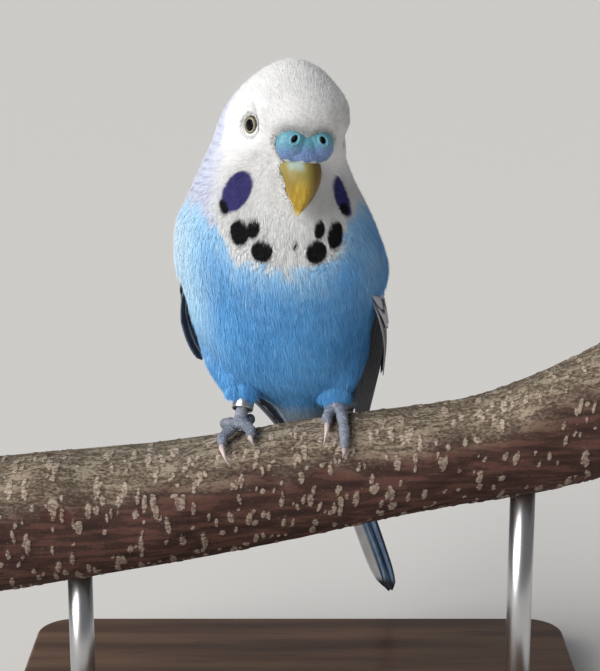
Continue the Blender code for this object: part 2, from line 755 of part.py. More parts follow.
def make_ring(material):
    """A closed metal band, loose on the bird's right shank."""
    upper, lower = shank_ends("right")
    along = (lower - upper).normalized()
    middle = upper.lerp(lower, RING_ALONG)
    shape = bmesh.new()
    profile = []
    for radius, height in ((0, -1), (1, -1), (1, 1), (0, 1)):
        x = RING_INNER + RING_WALL * radius
        profile.append(shape.verts.new((x, 0, height * RING_HEIGHT / 2)))
    edges = [shape.edges.new((profile[k], profile[(k + 1) % 4])) for k in range(4)]
    bmesh.ops.spin(
        shape, geom=profile + edges, axis=(0, 0, 1), cent=(0, 0, 0), angle=math.tau, steps=32, use_merge=True
    )
    bmesh.ops.remove_doubles(shape, verts=shape.verts, dist=1e-6)
    place = Matrix.Translation(middle) @ along.to_track_quat("Z", "X").to_matrix().to_4x4()
    bmesh.ops.transform(shape, matrix=place, verts=shape.verts)
    return make_object("leg_ring", shape, material)


def wing_point(side, u, v, lift=0.0):
    """A point over the wing's sheet: u along it, v from its lower to its upper edge, lift in metres."""
    sign = 1 if side == "left" else -1

    def on_sheet(a, b):
        rows = [(r[0], *r[1], *r[2], r[3]) for r in WING_ROWS]
        row = smooth_row(rows, a)
        lower, upper, bulge = Vector(row[0:3]), Vector(row[3:6]), row[6]
        point = lower.lerp(upper, b)
        chord = upper - lower
        out = Vector((-0.6, 0.8, 0.25))
        out = (out - chord * out.dot(chord) / chord.length_squared).normalized()
        point += out * bulge * 4 * b * (1 - b)
        point.y += WING_OUT[side]
        return bird_point(point.x, sign * point.y, point.z)

    here = on_sheet(u, v)
    if not lift:
        return here
    step = 0.02
    along = on_sheet(min(1, u + step), v) - on_sheet(max(0, u - step), v)
    across = on_sheet(u, v + step) - on_sheet(u, v - step)
    out = along.cross(across).normalized() * -sign
    return here + out * lift


def plate(rows):
    """A closed plate from rows of four corners, split into triangles alike on both faces."""
    shape = bmesh.new()
    loops = [[shape.verts.new(corner) for corner in row] for row in rows]
    for near, far in zip(loops, loops[1:]):
        for a, b in ((0, 1), (3, 2)):
            shape.faces.new((near[a], near[b], far[b]))
            shape.faces.new((near[a], far[b], far[a]))
        for a, b in ((1, 2), (3, 0)):
            shape.faces.new((near[a], near[b], far[b], far[a]))
    for loop in (loops[0], loops[-1]):
        shape.faces.new((loop[0], loop[1], loop[2]))
        shape.faces.new((loop[0], loop[2], loop[3]))
    return shape


def vane(surface, root, tip, half_width, lifts, scale=1.0):
    """The vane of a feather that lies over a surface, from its root to its tip.

    Root and tip are places on the surface, and scale turns millimetres into its sideways measure.
    """
    rows = []
    for share, width in VANE_OUTLINE:
        u = root[0] + (tip[0] - root[0]) * share
        v = root[1] + (tip[1] - root[1]) * share
        across = half_width * width * (scale(u) if callable(scale) else scale)
        lift = lifts[0] + (lifts[1] - lifts[0]) * share
        half = VANE_THICK / 2 * (1 - 0.35 * share**3)
        over, under = (lift + half) * MM, (lift - half) * MM
        rows.append(
            (
                surface(u, v - across, over),
                surface(u, v + across, over),
                surface(u, v + across, under),
                surface(u, v - across, under),
            )
        )
    return plate(rows)


def vary(feather, draw, reach):
    """The same feather with its tip, width and lift a little off, as no two grow alike."""
    root, tip, half_width, (root_lift, tip_lift) = feather
    tip = (tip[0] + draw.uniform(-reach, reach), tip[1] + 0.4 * draw.uniform(-reach, reach))
    half_width *= draw.uniform(0.95, 1.05)
    lifts = (root_lift + draw.uniform(-0.06, 0.06), tip_lift + draw.uniform(-0.06, 0.06))
    return root, tip, half_width, lifts


def wing_scale(side):
    """Turns a millimetre across the wing into a share of its sheet."""

    def scale(u):
        return MM / (wing_point(side, u, 1) - wing_point(side, u, 0)).length

    return scale


def wing_feathers():
    """Root, tip, half width in millimetres and lifts of each large feather, tier by tier."""
    draw = random.Random(WING_SEED)
    feathers = []
    for count, root_share, roots, (first, last, fall), tips, half_width, root_lift, tip_lifts in WING_TIERS:
        for t in spread(0, 1, count):
            root = (root_share, roots[0] + (roots[1] - roots[0]) * t)
            tip = (first + (last - first) * t**fall, tips[0] + (tips[1] - tips[0]) * t)
            lifts = (root_lift, tip_lifts[0] + (tip_lifts[1] - tip_lifts[0]) * t)
            feathers.append(vary((root, tip, half_width, lifts), draw, WING_STRAY))
    return feathers


def make_wing(side, stance, material):
    """A thin core that follows the flank, with its large feathers shingled over it."""
    rings = []
    for u in spread(0.0, WING_CORE_END, 8):
        ease = max(0.0, 1 - u / WING_SHOULDER) ** 2
        lower, upper = 0.12 + 0.22 * ease, 0.88 - 0.2 * ease
        shares = spread(lower, upper, 5)
        over = (WING_CORE_LIFT + WING_CORE_HALF) * MM
        under = (WING_CORE_LIFT - WING_CORE_HALF) * MM
        ring = [wing_point(side, u, v, over) for v in shares]
        ring += [wing_point(side, u, v, under) for v in reversed(shares)]
        rings.append(ring)
    wing = make_object(f"wing_{side}", loft(rings), material, stance)

    def surface(u, v, lift):
        return wing_point(side, u, v, lift)

    vanes = []
    for root, tip, half_width, lifts in wing_feathers():
        shape = vane(surface, root, tip, half_width, lifts, wing_scale(side))
        vanes.append(make_object("vane", shape, None, stance))
    combine(wing, vanes)
    combine(wing, [body_clearance(stance), thigh_room(side, stance)], "DIFFERENCE")
    return wing


def tail_point(u, v, lift=0.0):
    """A point over the tail's sheet: u along it and v across it, both in millimetres, lift in metres."""
    root, tip = bird_point(*TAIL_ROOT), bird_point(*TAIL_TIP)
    along = (tip - root).normalized()
    side = Vector((1, 0, 0))
    side = (side - along * side.dot(along)).normalized()
    up = side.cross(along).normalized()
    up = up if up.z > 0 else -up
    return root + along * (u * MM) + side * (v * MM) + up * (lift - TAIL_ROUND * v * v * MM)


def tail_length():
    return (bird_point(*TAIL_TIP) - bird_point(*TAIL_ROOT)).length / MM


def make_tail(stance, material):
    """Twelve feathers in pairs, the middle pair longest and uppermost, on a short core."""
    rings = []
    for u in spread(0.0, TAIL_CORE_LENGTH, 4):
        half = TAIL_CORE_WIDTHS[0] + (TAIL_CORE_WIDTHS[1] - TAIL_CORE_WIDTHS[0]) * u / TAIL_CORE_LENGTH
        thick = TAIL_CORE_HALF * MM
        shares = spread(-half, half, 5)
        ring = [tail_point(u, v, thick) for v in shares]
        ring += [tail_point(u, v, -thick) for v in reversed(shares)]
        rings.append(ring)
    tail = make_object("tail", loft(rings), material, stance)
    vanes = []
    for length, apart, half_width, lift in TAIL_PAIRS:
        for sign in (1, -1):
            tip = (length * tail_length(), sign * apart)
            raised = lift + 0.12 * sign
            shape = vane(tail_point, (3, sign * (1.2 + 0.55 * apart)), tip, half_width, (0.7 * lift, raised))
            vanes.append(make_object("vane", shape, None, stance))
    combine(tail, vanes)
    return tail


def add_tail_coverts(rump, stance):
    draw = random.Random(TAIL_SEED)
    vanes = []
    for count, reach, spread_out, half_width, root_lift, tip_lift in TAIL_COVERTS:
        for k in range(count):
            side = 2 * k / (count - 1) - 1
            tip = (reach - 5 * side * side, spread_out * side)
            root = (TAIL_COVERT_ROOT, 0.75 * spread_out * side)
            lifts = (root_lift * (1 - 0.12 * side * side), tip_lift + 0.1 * (k % 2))
            feather = vary((root, tip, half_width, lifts), draw, TAIL_STRAY)
            vanes.append(make_object("vane", vane(tail_point, *feather), None, stance))
    combine(rump, vanes)


def main():
    for obj in list(bpy.data.objects):
        bpy.data.objects.remove(obj)
    parts = bpy.data.collections.new("budgerigar")
    bpy.context.scene.collection.children.link(parts)

    white_feather = make_material("white_feather", (0.72, 0.73, 0.76), 0.85)
    blue_feather = make_material("blue_feather", (0.25, 0.48, 0.68), 0.85)
    wing_feather = make_material("wing_feather", (0.32, 0.34, 0.36), 0.8)
    tail_feather = make_material("tail_feather", (0.06, 0.14, 0.32), 0.75)
    face = {
        "cere": make_material("cere", (0.14, 0.30, 0.52), 0.5),
        "beak": make_material("beak", (0.62, 0.52, 0.22), 0.4),
        "eye": make_material("eye", (0.012, 0.01, 0.01), 0.06),
    }
    legs = {
        "foot": make_material("foot_skin", (0.42, 0.42, 0.46), 0.6),
        "claw": make_material("claw", (0.48, 0.42, 0.38), 0.4),
    }
    stand = {
        "base": make_material("stained_wood", (0.10, 0.055, 0.03), 0.35),
        "rod": make_material("brushed_steel", (0.55, 0.55, 0.56), 0.3, 1.0),
    }

    stance = bpy.data.objects.new("bird_stance", None)
    stance.location = (STANCE_X, PERCH_Y, PERCH_TOP)
    stance.rotation_euler = (0, 0, math.radians(BODY_YAW))
    parts.objects.link(stance)
    pose = bpy.data.objects.new("head_pose", None)
    pose.parent = stance
    pose.location = HEAD_MIDDLE
    pose.rotation_euler = (0, math.radians(HEAD_ROLL), math.radians(HEAD_YAW))
    parts.objects.link(pose)

    feathers = {"head": white_feather, "neck": white_feather, "torso": blue_feather, "rump": blue_feather}
    head, neck, torso, rump = make_body(stance, feathers)
    make_face(pose, head, neck, face)
    perch = make_perch(make_material("bark", (0.30, 0.20, 0.15), 0.8))
    for side in ("right", "left"):
        make_foot(side, legs)
        make_thigh(side, stance, torso, blue_feather)
        make_wing(side, stance, wing_feather)
    make_tail(stance, tail_feather)
    add_tail_coverts(rump, stance)
    make_ring(make_material("band_metal", (0.6, 0.6, 0.58), 0.3, 1.0))
    make_stand(perch, stand)


main()
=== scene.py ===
"""Looks of a life-size budgerigar, perched on a cut length of branch over a plain display stand.

Metres, +Z up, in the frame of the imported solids. The bird's own frame has x to its left, y behind
it and z up from the top of the perch. The head's frame lies the same way, from the head's middle.
"""

import math

import bmesh
import bpy
import numpy as np
from mathutils import Matrix, Vector
from mathutils.bvhtree import BVHTree


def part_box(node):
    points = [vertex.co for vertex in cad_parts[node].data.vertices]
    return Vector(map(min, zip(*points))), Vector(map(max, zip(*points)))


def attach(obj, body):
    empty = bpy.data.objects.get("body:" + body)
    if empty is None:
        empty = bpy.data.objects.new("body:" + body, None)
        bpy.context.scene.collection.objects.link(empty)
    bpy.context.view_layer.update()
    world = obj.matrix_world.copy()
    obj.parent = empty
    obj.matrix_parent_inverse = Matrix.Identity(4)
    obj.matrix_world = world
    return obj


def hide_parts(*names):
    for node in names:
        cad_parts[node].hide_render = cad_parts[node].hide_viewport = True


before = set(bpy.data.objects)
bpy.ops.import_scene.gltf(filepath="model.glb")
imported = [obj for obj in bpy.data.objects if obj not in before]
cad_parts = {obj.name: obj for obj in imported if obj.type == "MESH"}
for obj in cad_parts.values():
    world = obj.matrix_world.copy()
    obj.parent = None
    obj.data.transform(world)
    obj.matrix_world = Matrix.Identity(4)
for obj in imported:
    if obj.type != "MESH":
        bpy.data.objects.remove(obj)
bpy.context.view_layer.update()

MM = 0.001

# The photograph's view: what it looks at, from how far, how steeply, and the picture's measures
VIEW_TARGET = Vector((0, -20, 112)) * MM
VIEW_DISTANCE = 400 * MM
VIEW_RISE = math.radians(14)
VIEW_LENS = 92.3
PICTURE_MIDDLE = (300, 335.5)
PICTURE_FOCAL = 1720

# Stance of the bird over the perch, and of the head over the body
PERCH_TOP = 91.9 * MM
BIRD = Matrix.Translation((-6 * MM, -20 * MM, PERCH_TOP)) @ Matrix.Rotation(math.radians(-18), 4, "Z")
HEAD = (
    BIRD
    @ Matrix.Translation(Vector((6.8, -11.2, 68)) * MM)
    @ Matrix.Rotation(math.radians(38), 4, "Z")
    @ Matrix.Rotation(math.radians(5), 4, "Y")
)

# Middle line of the body in the bird's frame, in millimetres: height, shift to the left, back
BODY_LINE = (
    (-8, 2.8, 31),
    (3, 1.3, 20),
    (15, -0.2, 10),
    (30, 0.6, 4),
    (42, 0.9, 0),
    (56, 1.8, -4.6),
    (68, 4.1, -7.5),
    (85, 7.6, -10.4),
)

# Nodes that the feathered skin stands for, and those of its bill
FLESH = ("head", "neck", "torso", "rump", "thigh_left", "thigh_right")
BILL = ("cere", "beak_upper", "beak_lower")
# Size of the even mesh of the skin, of the cere and of a foot
SKIN_VOXEL = 0.8 * MM
CERE_VOXEL = 0.14 * MM
FOOT_VOXEL = 0.17 * MM
# Points nearer than this are joined
MERGE = 1e-6

# The eye in the head's frame: its ball, how far its axis turns forwards and the opening of its lids
EYE_RADIUS = 3.3 * MM
EYE_TURN = 20
EYE_FRONT = Vector((10.55, -4.9, 2.7)) * MM
LID_RADIUS = 1.56 * MM
LID_HEIGHT = 2.91 * MM

# Swellings of the head under its fluff: place in the head's frame, reach and height, in millimetres.
# The last two, the crown and the brow over the left eye, have no twin on the other side.
HEAD_SWELLS = (
    ((8.8, -9.6, 6.6), 5.0, 1.4),
    ((-8.8, -9.6, 6.6), 5.0, 1.4),
    ((3.0, -13.0, 6.4), 4.4, 1.5),
    ((-3.0, -13.0, 6.4), 4.4, 1.5),
    ((6.4, -11.0, -8.5), 3.0, 0.9),
    ((-6.4, -11.0, -8.5), 3.0, 0.9),
    ((1.5, -1.0, 15.5), 8.0, 1.0),
    ((10.0, -7.4, 1.2), 5.4, 1.9),
)
# Fluff of the flank that covers the fore edge of the left wing, as a swelling in the bird's frame
FLANK_SWELL = (22, 11, 34), 8.0, 1.4

# Feathering of the legs, each a line of points in the bird's frame as forward, side and height with
# its radii, in millimetres
TROUSERS = (
    (((-2.0, -14.0, 19), (-1.6, -12.4, 13), (-1.0, -9.6, 8), (-0.6, -8.0, 5.5)), (5.6, 5.8, 5.0, 4.2)),
    (((-5.5, 15.2, 19), (-6.5, 14.6, 13), (-7.5, 13.5, 9), (-7.2, 12.7, 5.2)), (5.4, 5.5, 5.2, 4.1)),
)
# Fluff under the root of the tail, as a line of the same kind
UNDERTAIL = (((-10, 2.5, 8), (-20, 2.8, -3), (-34, 2.9, -19)), (8.5, 7.6, 3.2))

# Where the tufts hang over each shank: the shank's place as forward and side in the bird's frame, and
# the height over the perch to which they reach, in millimetres
FRINGE = ((-0.6, -8.0, 4.2), (-7.2, 12.4, 3.2))

# Cere in the head's frame: side, forward, up and half sizes of the pads that it swells from, and the
# side, height and half sizes of a nostril, in millimetres
CERE_PADS = (
    ((2.9, 11.9, -0.35), (3.6, 2.6, 3.8)),
    ((-2.9, 11.9, -0.35), (3.6, 2.6, 3.8)),
    ((0.0, 12.0, -1.2), (3.2, 2.6, 3.3)),
    ((0.0, 12.4, -2.6), (4.0, 2.4, 1.8)),
)
NOSTRIL = (3.2, 1.15, 0.76, 0.84)

# Wing sheets, in the bird's frame in millimetres: share of the length, then the lower edge and
# the upper edge as forward, side and height, and how far the sheet bulges between them
WING_ROWS = (
    (0.0, (12, 16, 50), (-9, 10, 57), 2.5),
    (0.22, (4, 23.0, 36), (-18, 9, 45), 4.5),
    (0.45, (-6, 25.2, 20), (-28, 5.5, 27), 5.6),
    (0.65, (-16, 21.0, 4), (-35, 4.0, 9), 4.0),
    (0.85, (-32, 15.5, -12), (-44, 3.5, -6), 2.0),
    (1.0, (-45, 13.0, -25), (-54, 3.0, -19), 1.0),
)
# How far each wing stands off, at these shares of its length
WING_OUT_AT = (0, 0.3, 0.45, 0.6, 0.8, 1)
WING_OUT = {"right": (-0.6, -1.2, 1.2, 1.9, -0.6, -2.4), "left": (0.3, -0.9, -0.3, 0.4, -0.4, -1.5)}

# The barred back: heights of its upper and lower end, half its width and how many tiers lie over it
MANTLE_TOP = 52
MANTLE_END = 12
MANTLE_HALF = 13
MANTLE_TIERS = 8

# Tail: a sheet that runs down from its root, in the bird's frame in millimetres
TAIL_ROOT = (-31.6, 2.8, -8.0)
TAIL_TIP = (-91.0, 4.6, -79.5)
# How much the tail rounds over from side to side, per square millimetre
TAIL_ROUND = 0.018
# Pairs of tail feathers from the middle outwards: length as a share of the tail, distance of the tip
# from the middle, half width and lift, in millimetres
TAIL_PAIRS = (
    (1.0, 0.45, 2.2, 1.0),
    (0.965, 1.3, 2.2, 0.65),
    (0.55, 2.5, 2.5, 0.3),
    (0.49, 3.5, 2.6, -0.05),
    (0.43, 4.4, 2.6, -0.4),
    (0.37, 5.2, 2.6, -0.75),
)

# Bill, rows in millimetres in the head's frame: forward, up, half width, half depth
BILL_ROWS = (
    (8.5, -5.2, 4.3, 2.8),
    (11.1, -5.6, 4.5, 3.2),
    (12.9, -8.0, 4.0, 2.9),
    (13.3, -10.9, 2.8, 2.1),
    (12.8, -13.4, 1.4, 1.1),
    (11.9, -15.2, 0.4, 0.4),
)
LOWER_BILL_ROWS = (
    (6.0, -7.6, 2.2, 1.3),
    (8.0, -9.6, 2.1, 1.1),
    (9.3, -11.6, 1.5, 0.8),
    (9.7, -12.9, 0.7, 0.4),
)
# Height in the head's frame at which the bill comes out from under the cere
BILL_TOP = -2.5
# How far the tip of the bill leans to the bird's right, in millimetres
BILL_LEAN = 0.6

# Perch: where it lies, then x, height of its axis and radius in millimetres, and its knots as x,
# angle from the top towards the front in degrees, size and height in millimetres
PERCH_Y = -20 * MM
PERCH_ROWS = (
    (-75, 65.8, 16.6),
    (-40, 69.6, 15.3),
    (-20, 73.2, 14.7),
    (0, 77.3, 14.3),
    (37, 83.3, 12.9),
    (56, 88.6, 14.4),
    (75, 96.0, 16.6),
)
PERCH_KNOTS = ((-58, 40, 7, 1.6), (-30, 95, 6, 1.2), (33, 70, 6, 1.4), (57, 30, 8, 1.8))
# Radii of the branch by which its knots and its corky marks are laid out round it, then half its
# length and half its girth, in millimetres
KNOT_ROUND = 15
MARK_ROUND = 14.5
PERCH_HALF = 75
PERCH_HALF_GIRTH = 45
# How many pale corky marks the bark bears
LENTICELS = 1000

# Feet, each named by its side of the bird: place of the sole along the perch in millimetres, its
# angle from the top, and the top of its shank as x, y from the perch's axis and height over it
FOOT_X = {"right": -14.1, "left": 8.6}
FOOT_ANGLE = {"right": 4, "left": 2}
SHANK_TOP = {"right": (-12.6, 4.4, 7.4), "left": (8.4, 6.4, 10.2)}
SHANK_RADIUS = 1.35 * MM
SOLE_SIZE = (2.2, 2.0, 1.5)
TOE_RADIUS = 1.33 * MM
CLAW_RADIUS = 0.72 * MM
# Toes: sideways at the root and tip in millimetres, angle of the tip round the perch, and the
# claw's sideways turn in millimetres and its tip's angle
TOES = {
    "right": {
        "outer": (-1.0, -4.0, 29, 2.0, 50),
        "inner": (1.0, 2.6, 25, 1.0, 36),
        "back_outer": (-1.0, -3.8, -34, -0.6, -46),
        "back_inner": (1.0, 2.2, -20, 0.2, -30),
    },
    "left": {
        "outer": (0.8, 1.6, 53, -0.4, 60),
        "inner": (-1.2, -2.3, 24, -0.9, 46),
        "back_outer": (1.0, 3.4, -32, 0.6, -44),
        "back_inner": (-1.0, -1.8, -15.5, -0.2, -24),
    },
}
RING_INNER = 2.05 * MM
RING_WALL = 0.5 * MM
RING_HEIGHT = 3.0 * MM
RING_ALONG = 0.52

# Base of the stand, the radius of its corners and how far its upper rim is rounded
BASE_SIZE = (150 * MM, 116 * MM, 8 * MM)
BASE_CORNER = 10 * MM
BASE_RIM = 1.2 * MM

# The window's light: where it comes from, its strength, its spread and its colour, and the room's
SUN_FROM = (-0.66, -0.58, 0.48)
SUN_STRENGTH = 3.5
SUN_SPREAD = math.radians(50)
SUN_COLOUR = (1.0, 0.99, 0.97)
ROOM_STRENGTH = 0.19
ROOM_COLOUR = (0.95, 0.96, 1.0, 1)

# Colours as linear red, green and blue
WHITE = (0.865, 0.865, 0.865)
# The bib's white greyed lower down, where the head shades it: painted shade
SHADED_BIB = (0.77, 0.775, 0.775)
LAVENDER = (0.66, 0.70, 0.85)
FLECK = (0.26, 0.25, 0.40)
SKY = (0.14, 0.44, 0.83)
PALE_SKY = (0.46, 0.75, 0.97)
ICE = (0.72, 0.85, 0.97)
DEEP_SKY = (0.085, 0.32, 0.67)
VENT = (0.60, 0.72, 0.83)
VIOLET = (0.062, 0.058, 0.21)
BLACK = (0.010, 0.009, 0.011)
# Dark skin round the cere and bill: partly its colour, partly painted shade in the gap under the feathers
FACE_SKIN_AND_SHADE = (0.20, 0.17, 0.15)

# Pieces of the coat: lowest and highest place over the perch in millimetres, whether in front, barbs
# to a tuft, width of a barb in millimetres and slot
COAT_PIECES = {
    "coat_crown": (72, 999, None, 6, 0.12, "white_feather"),
    "coat_cheeks": (60, 72, None, 6, 0.12, "white_feather"),
    "coat_throat": (46, 60, True, 6, 0.14, "white_feather"),
    "coat_nape": (46, 60, False, 6, 0.15, "white_feather"),
    "coat_breast": (26, 46, True, 11, 0.15, "blue_feather"),
    "coat_mantle": (26, 46, False, 8, 0.2, "blue_feather"),
    "coat_belly": (-999, 26, True, 11, 0.16, "blue_feather"),
    "coat_rump": (-999, 26, False, 8, 0.22, "blue_feather"),
}
# A barb is three triangles over five points: two at its root, two at its middle and its tip. The
# points lie across and along it so, and each has its own tone.
BARB_POINTS = 5
BARB_TRIANGLES = ((0, 1, 3), (0, 3, 2), (2, 3, 4))
BARB_ACROSS = (-0.5, 0.5, -0.5, 0.5, 0.0)
BARB_ALONG = (-0.5, -0.5, 0.0, 0.0, 0.5)
BARB_TONES = (0.88, 0.88, 0.98, 0.98, 1.04)
# How far away the cere and bill are looked for
HORN_REACH = 4 * MM
# Steps of a sheet's table, along it and across
SHEET_ALONG, SHEET_ACROSS = 60, 40
DOWN = np.array((0.0, 0.0, -1.0))


def spread(first, last, count):
    return [first + (last - first) * i / (count - 1) for i in range(count)]


def smooth_row(rows, x):
    """The row at x of a table, on a smooth curve through its rows."""
    last = len(rows) - 2
    i = 0
    while i < last and x > rows[i + 1][0]:
        i += 1
    before, after = rows[max(i - 1, 0)], rows[min(i + 2, len(rows) - 1)]
    here, there = rows[i], rows[i + 1]
    step = there[0] - here[0]
    t = (x - here[0]) / step
    values = []
    for k in range(1, len(here)):
        slope_here = (there[k] - before[k]) / (there[0] - before[0])
        slope_there = (after[k] - here[k]) / (after[0] - here[0])
        cubic = (2 * t**3 - 3 * t**2 + 1) * here[k] + (3 * t**2 - 2 * t**3) * there[k]
        cubic += (t**3 - 2 * t**2 + t) * step * slope_here + (t**3 - t**2) * step * slope_there
        values.append(cubic)
    return values


def ease(low, high, x):
    """Rises smoothly from 0 at low to 1 at high, for arrays too."""
    t = np.clip((x - low) / (high - low), 0, 1)
    return t * t * (3 - 2 * t)


def ripple(points, size, seed):
    """A soft, irregular wave over points, about -1 to 1, with hills about size across."""
    rng = np.random.default_rng(seed)
    waves = rng.normal(size=(7, 3))
    waves *= (rng.uniform(0.6, 1.5, 7) / np.linalg.norm(waves, axis=1))[:, None] * math.pi / size
    phases = rng.uniform(0, math.tau, 7)
    return np.sin(points @ waves.T + phases).sum(axis=1) / 3.2


class Value:
    """A number that varies over a surface. Arithmetic on it adds Math nodes."""

    def __init__(self, finish, socket):
        self.finish = finish
        self.socket = socket

    def math(self, operation, *values):
        settings = {"operation": operation}
        return self.finish.add("ShaderNodeMath", settings, dict(enumerate(values)))

    def __add__(self, other):
        return self.math("ADD", self, other)

    def __sub__(self, other):
        return self.math("SUBTRACT", self, other)

    def __rsub__(self, other):
        return self.math("SUBTRACT", other, self)

    def __mul__(self, other):
        return self.math("MULTIPLY", self, other)

    def __abs__(self):
        return self.math("ABSOLUTE", self)

    __radd__ = __add__
    __rmul__ = __mul__

    def sine(self):
        return self.math("SINE", self)

    def between(self, low, high):
        """Rises smoothly from 0 at low to 1 at high."""
        settings = {"interpolation_type": "SMOOTHSTEP"}
        return self.finish.add("ShaderNodeMapRange", settings, {0: self, 1: low, 2: high})


class Finish:
    """A material of the model, built up from nodes round one shader."""

    def __init__(self, name, **constants):
        self.material = bpy.data.materials.new(name)
        self.material.use_nodes = True
        self.nodes = self.material.node_tree.nodes
        self.shader = self.nodes["Principled BSDF"]
        self.paint(**constants)

    def add(self, kind, settings=None, inputs=None, output=0):
        node = self.nodes.new(kind)
        for key, value in (settings or {}).items():
            if key == "stops":
                for _ in value[2:]:
                    node.color_ramp.elements.new(0.5)
                for stop, (place, colour) in zip(node.color_ramp.elements, value):
                    stop.position = place
                    stop.color = (*colour, 1)
            else:
                setattr(node, key, value)
        for key, value in (inputs or {}).items():
            self.feed(node.inputs[key], value)
        return Value(self, node.outputs[output])

    def feed(self, socket, value):
        if isinstance(value, Value):
            self.material.node_tree.links.new(value.socket, socket)
        elif isinstance(value, tuple) and len(value) == 3 and socket.type == "RGBA":
            socket.default_value = (*value, 1)
        else:
            socket.default_value = value

    def mix(self, first, second, share):
        """Colour that goes from the first to the second as share goes from 0 to 1."""
        return self.add("ShaderNodeMix", {"data_type": "RGBA"}, {0: share, 6: first, 7: second}, output=2)

    def place(self):
        return self.add("ShaderNodeTexCoord", output=3)

    def noise(self, size, detail=2.0, stretch=None):
        """Cloudy noise from 0 to 1 with patches about size across, longer where stretch is below 1."""
        vector = self.place()
        if stretch:
            vector = self.add("ShaderNodeMapping", None, {0: vector, 3: stretch})
        inputs = {"Vector": vector, "Scale": 1 / size, "Detail": detail}
        return self.add("ShaderNodeTexNoise", None, inputs)

    def cell_edges(self, size):
        """Distance from the edges of cells about size across."""
        inputs = {"Vector": self.place(), "Scale": 1 / size}
        return self.add("ShaderNodeTexVoronoi", {"feature": "DISTANCE_TO_EDGE"}, inputs)

    def attribute(self, name, output=2):
        return self.add("ShaderNodeAttribute", {"attribute_name": name}, output=output)

    def across_and_along(self, name):
        """The two measures of the piece's own map."""
        vector = self.add("ShaderNodeUVMap", {"uv_map": name})
        return [self.add("ShaderNodeSeparateXYZ", None, {0: vector}, output=k) for k in (0, 1)]

    def paint(self, **values):
        for socket, value in values.items():
            label = socket.replace("_", " ").title().replace("Ior", "IOR")
            self.feed(self.shader.inputs[label], value)

    def bump(self, height, depth):
        """Raises the surface in shading only, by depth metres where height is 1."""
        inputs = {"Height": height, "Distance": depth, "Strength": 1.0}
        self.feed(self.shader.inputs["Normal"], self.add("ShaderNodeBump", None, inputs))


def linked(name, data):
    """An object of the scene that holds data."""
    thing = bpy.data.objects.new(name, data)
    bpy.context.scene.collection.objects.link(thing)
    return thing


def mesh_of(name, shape):
    """A mesh from a bmesh, which is used up."""
    mesh = bpy.data.meshes.new(name)
    shape.to_mesh(mesh)
    shape.free()
    return mesh


def show(name, mesh, finish, slot, *nodes, smooth=True):
    """A piece of the model, which rides on the part's one body and may stand for nodes."""
    piece = linked(name, mesh)
    mesh.materials.append(finish.material)
    mesh.polygons.foreach_set("use_smooth", [smooth] * len(mesh.polygons))
    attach(piece, "root")
    if nodes:
        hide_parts(*nodes)
    return piece


def finished(name, shape, finish, slot, *nodes, smooth=True):
    """The same from a bmesh."""
    return show(name, mesh_of(name, shape), finish, slot, *nodes, smooth=smooth)


def map_by(shape, name, measure):
    """Gives the shape a map, whose two measures are worked out from each corner's place."""
    layer = shape.loops.layers.uv.new(name)
    for face in shape.faces:
        for loop in face.loops:
            loop[layer].uv = measure(loop.vert.co)


def places_of(verts):
    return np.array([vert.co for vert in verts])


def merged(nodes):
    """One bmesh of whole copies of nodes, whose loose triangles are joined."""
    shape = bmesh.new()
    for node in nodes:
        shape.from_mesh(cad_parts[node].data)
    bmesh.ops.remove_doubles(shape, verts=shape.verts, dist=MERGE)
    return shape


def smooth_over(shape, rounds):
    for _ in range(rounds):
        bmesh.ops.smooth_vert(
            shape, verts=shape.verts, factor=0.5, use_axis_x=True, use_axis_y=True, use_axis_z=True
        )
    shape.normal_update()


def remeshed(shape, voxel, rounds):
    """The shape as one even mesh, smoothed by so many rounds."""
    bmesh.ops.recalc_face_normals(shape, faces=shape.faces)
    loose = mesh_of("work", shape)
    work = linked("work", loose)
    remesh = work.modifiers.new("Remesh", "REMESH")
    remesh.mode = "VOXEL"
    remesh.voxel_size = voxel
    bpy.context.view_layer.update()
    graph = bpy.context.evaluated_depsgraph_get()
    even = bpy.data.meshes.new_from_object(work.evaluated_get(graph))
    bpy.data.objects.remove(work)
    shape = bmesh.new()
    shape.from_mesh(even)
    for mesh in (loose, even):
        bpy.data.meshes.remove(mesh)
    smooth_over(shape, rounds)
    return shape


def add_oval(shape, sides, rings, sizes, middle):
    """Adds a ball drawn out to half sizes in millimetres."""
    ball = bmesh.ops.create_uvsphere(shape, u_segments=sides, v_segments=rings, radius=MM)["verts"]
    bmesh.ops.scale(shape, vec=sizes, verts=ball)
    bmesh.ops.translate(shape, vec=middle, verts=ball)


def sleeve(shape, sides, rings, place):
    """Adds a closed tube. Place gives its point at an angle, a share of its length and of its radius."""
    tube = bmesh.new()
    bmesh.ops.create_cone(
        tube, cap_ends=True, cap_tris=True, segments=sides, radius1=1, radius2=1, depth=1
    )
    long_edges = [edge for edge in tube.edges if abs(edge.verts[0].co.z - edge.verts[1].co.z) > 0.5]
    bmesh.ops.subdivide_edges(tube, edges=long_edges, cuts=rings - 2)
    for vert in tube.verts:
        angle = math.atan2(vert.co.y, vert.co.x)
        vert.co = place(angle, vert.co.z + 0.5, math.hypot(vert.co.x, vert.co.y))
    bmesh.ops.recalc_face_normals(tube, faces=tube.faces)
    if tube.calc_volume(signed=True) < 0:
        bmesh.ops.reverse_faces(tube, faces=tube.faces)
    mesh = mesh_of("tube", tube)
    shape.from_mesh(mesh)
    bpy.data.meshes.remove(mesh)


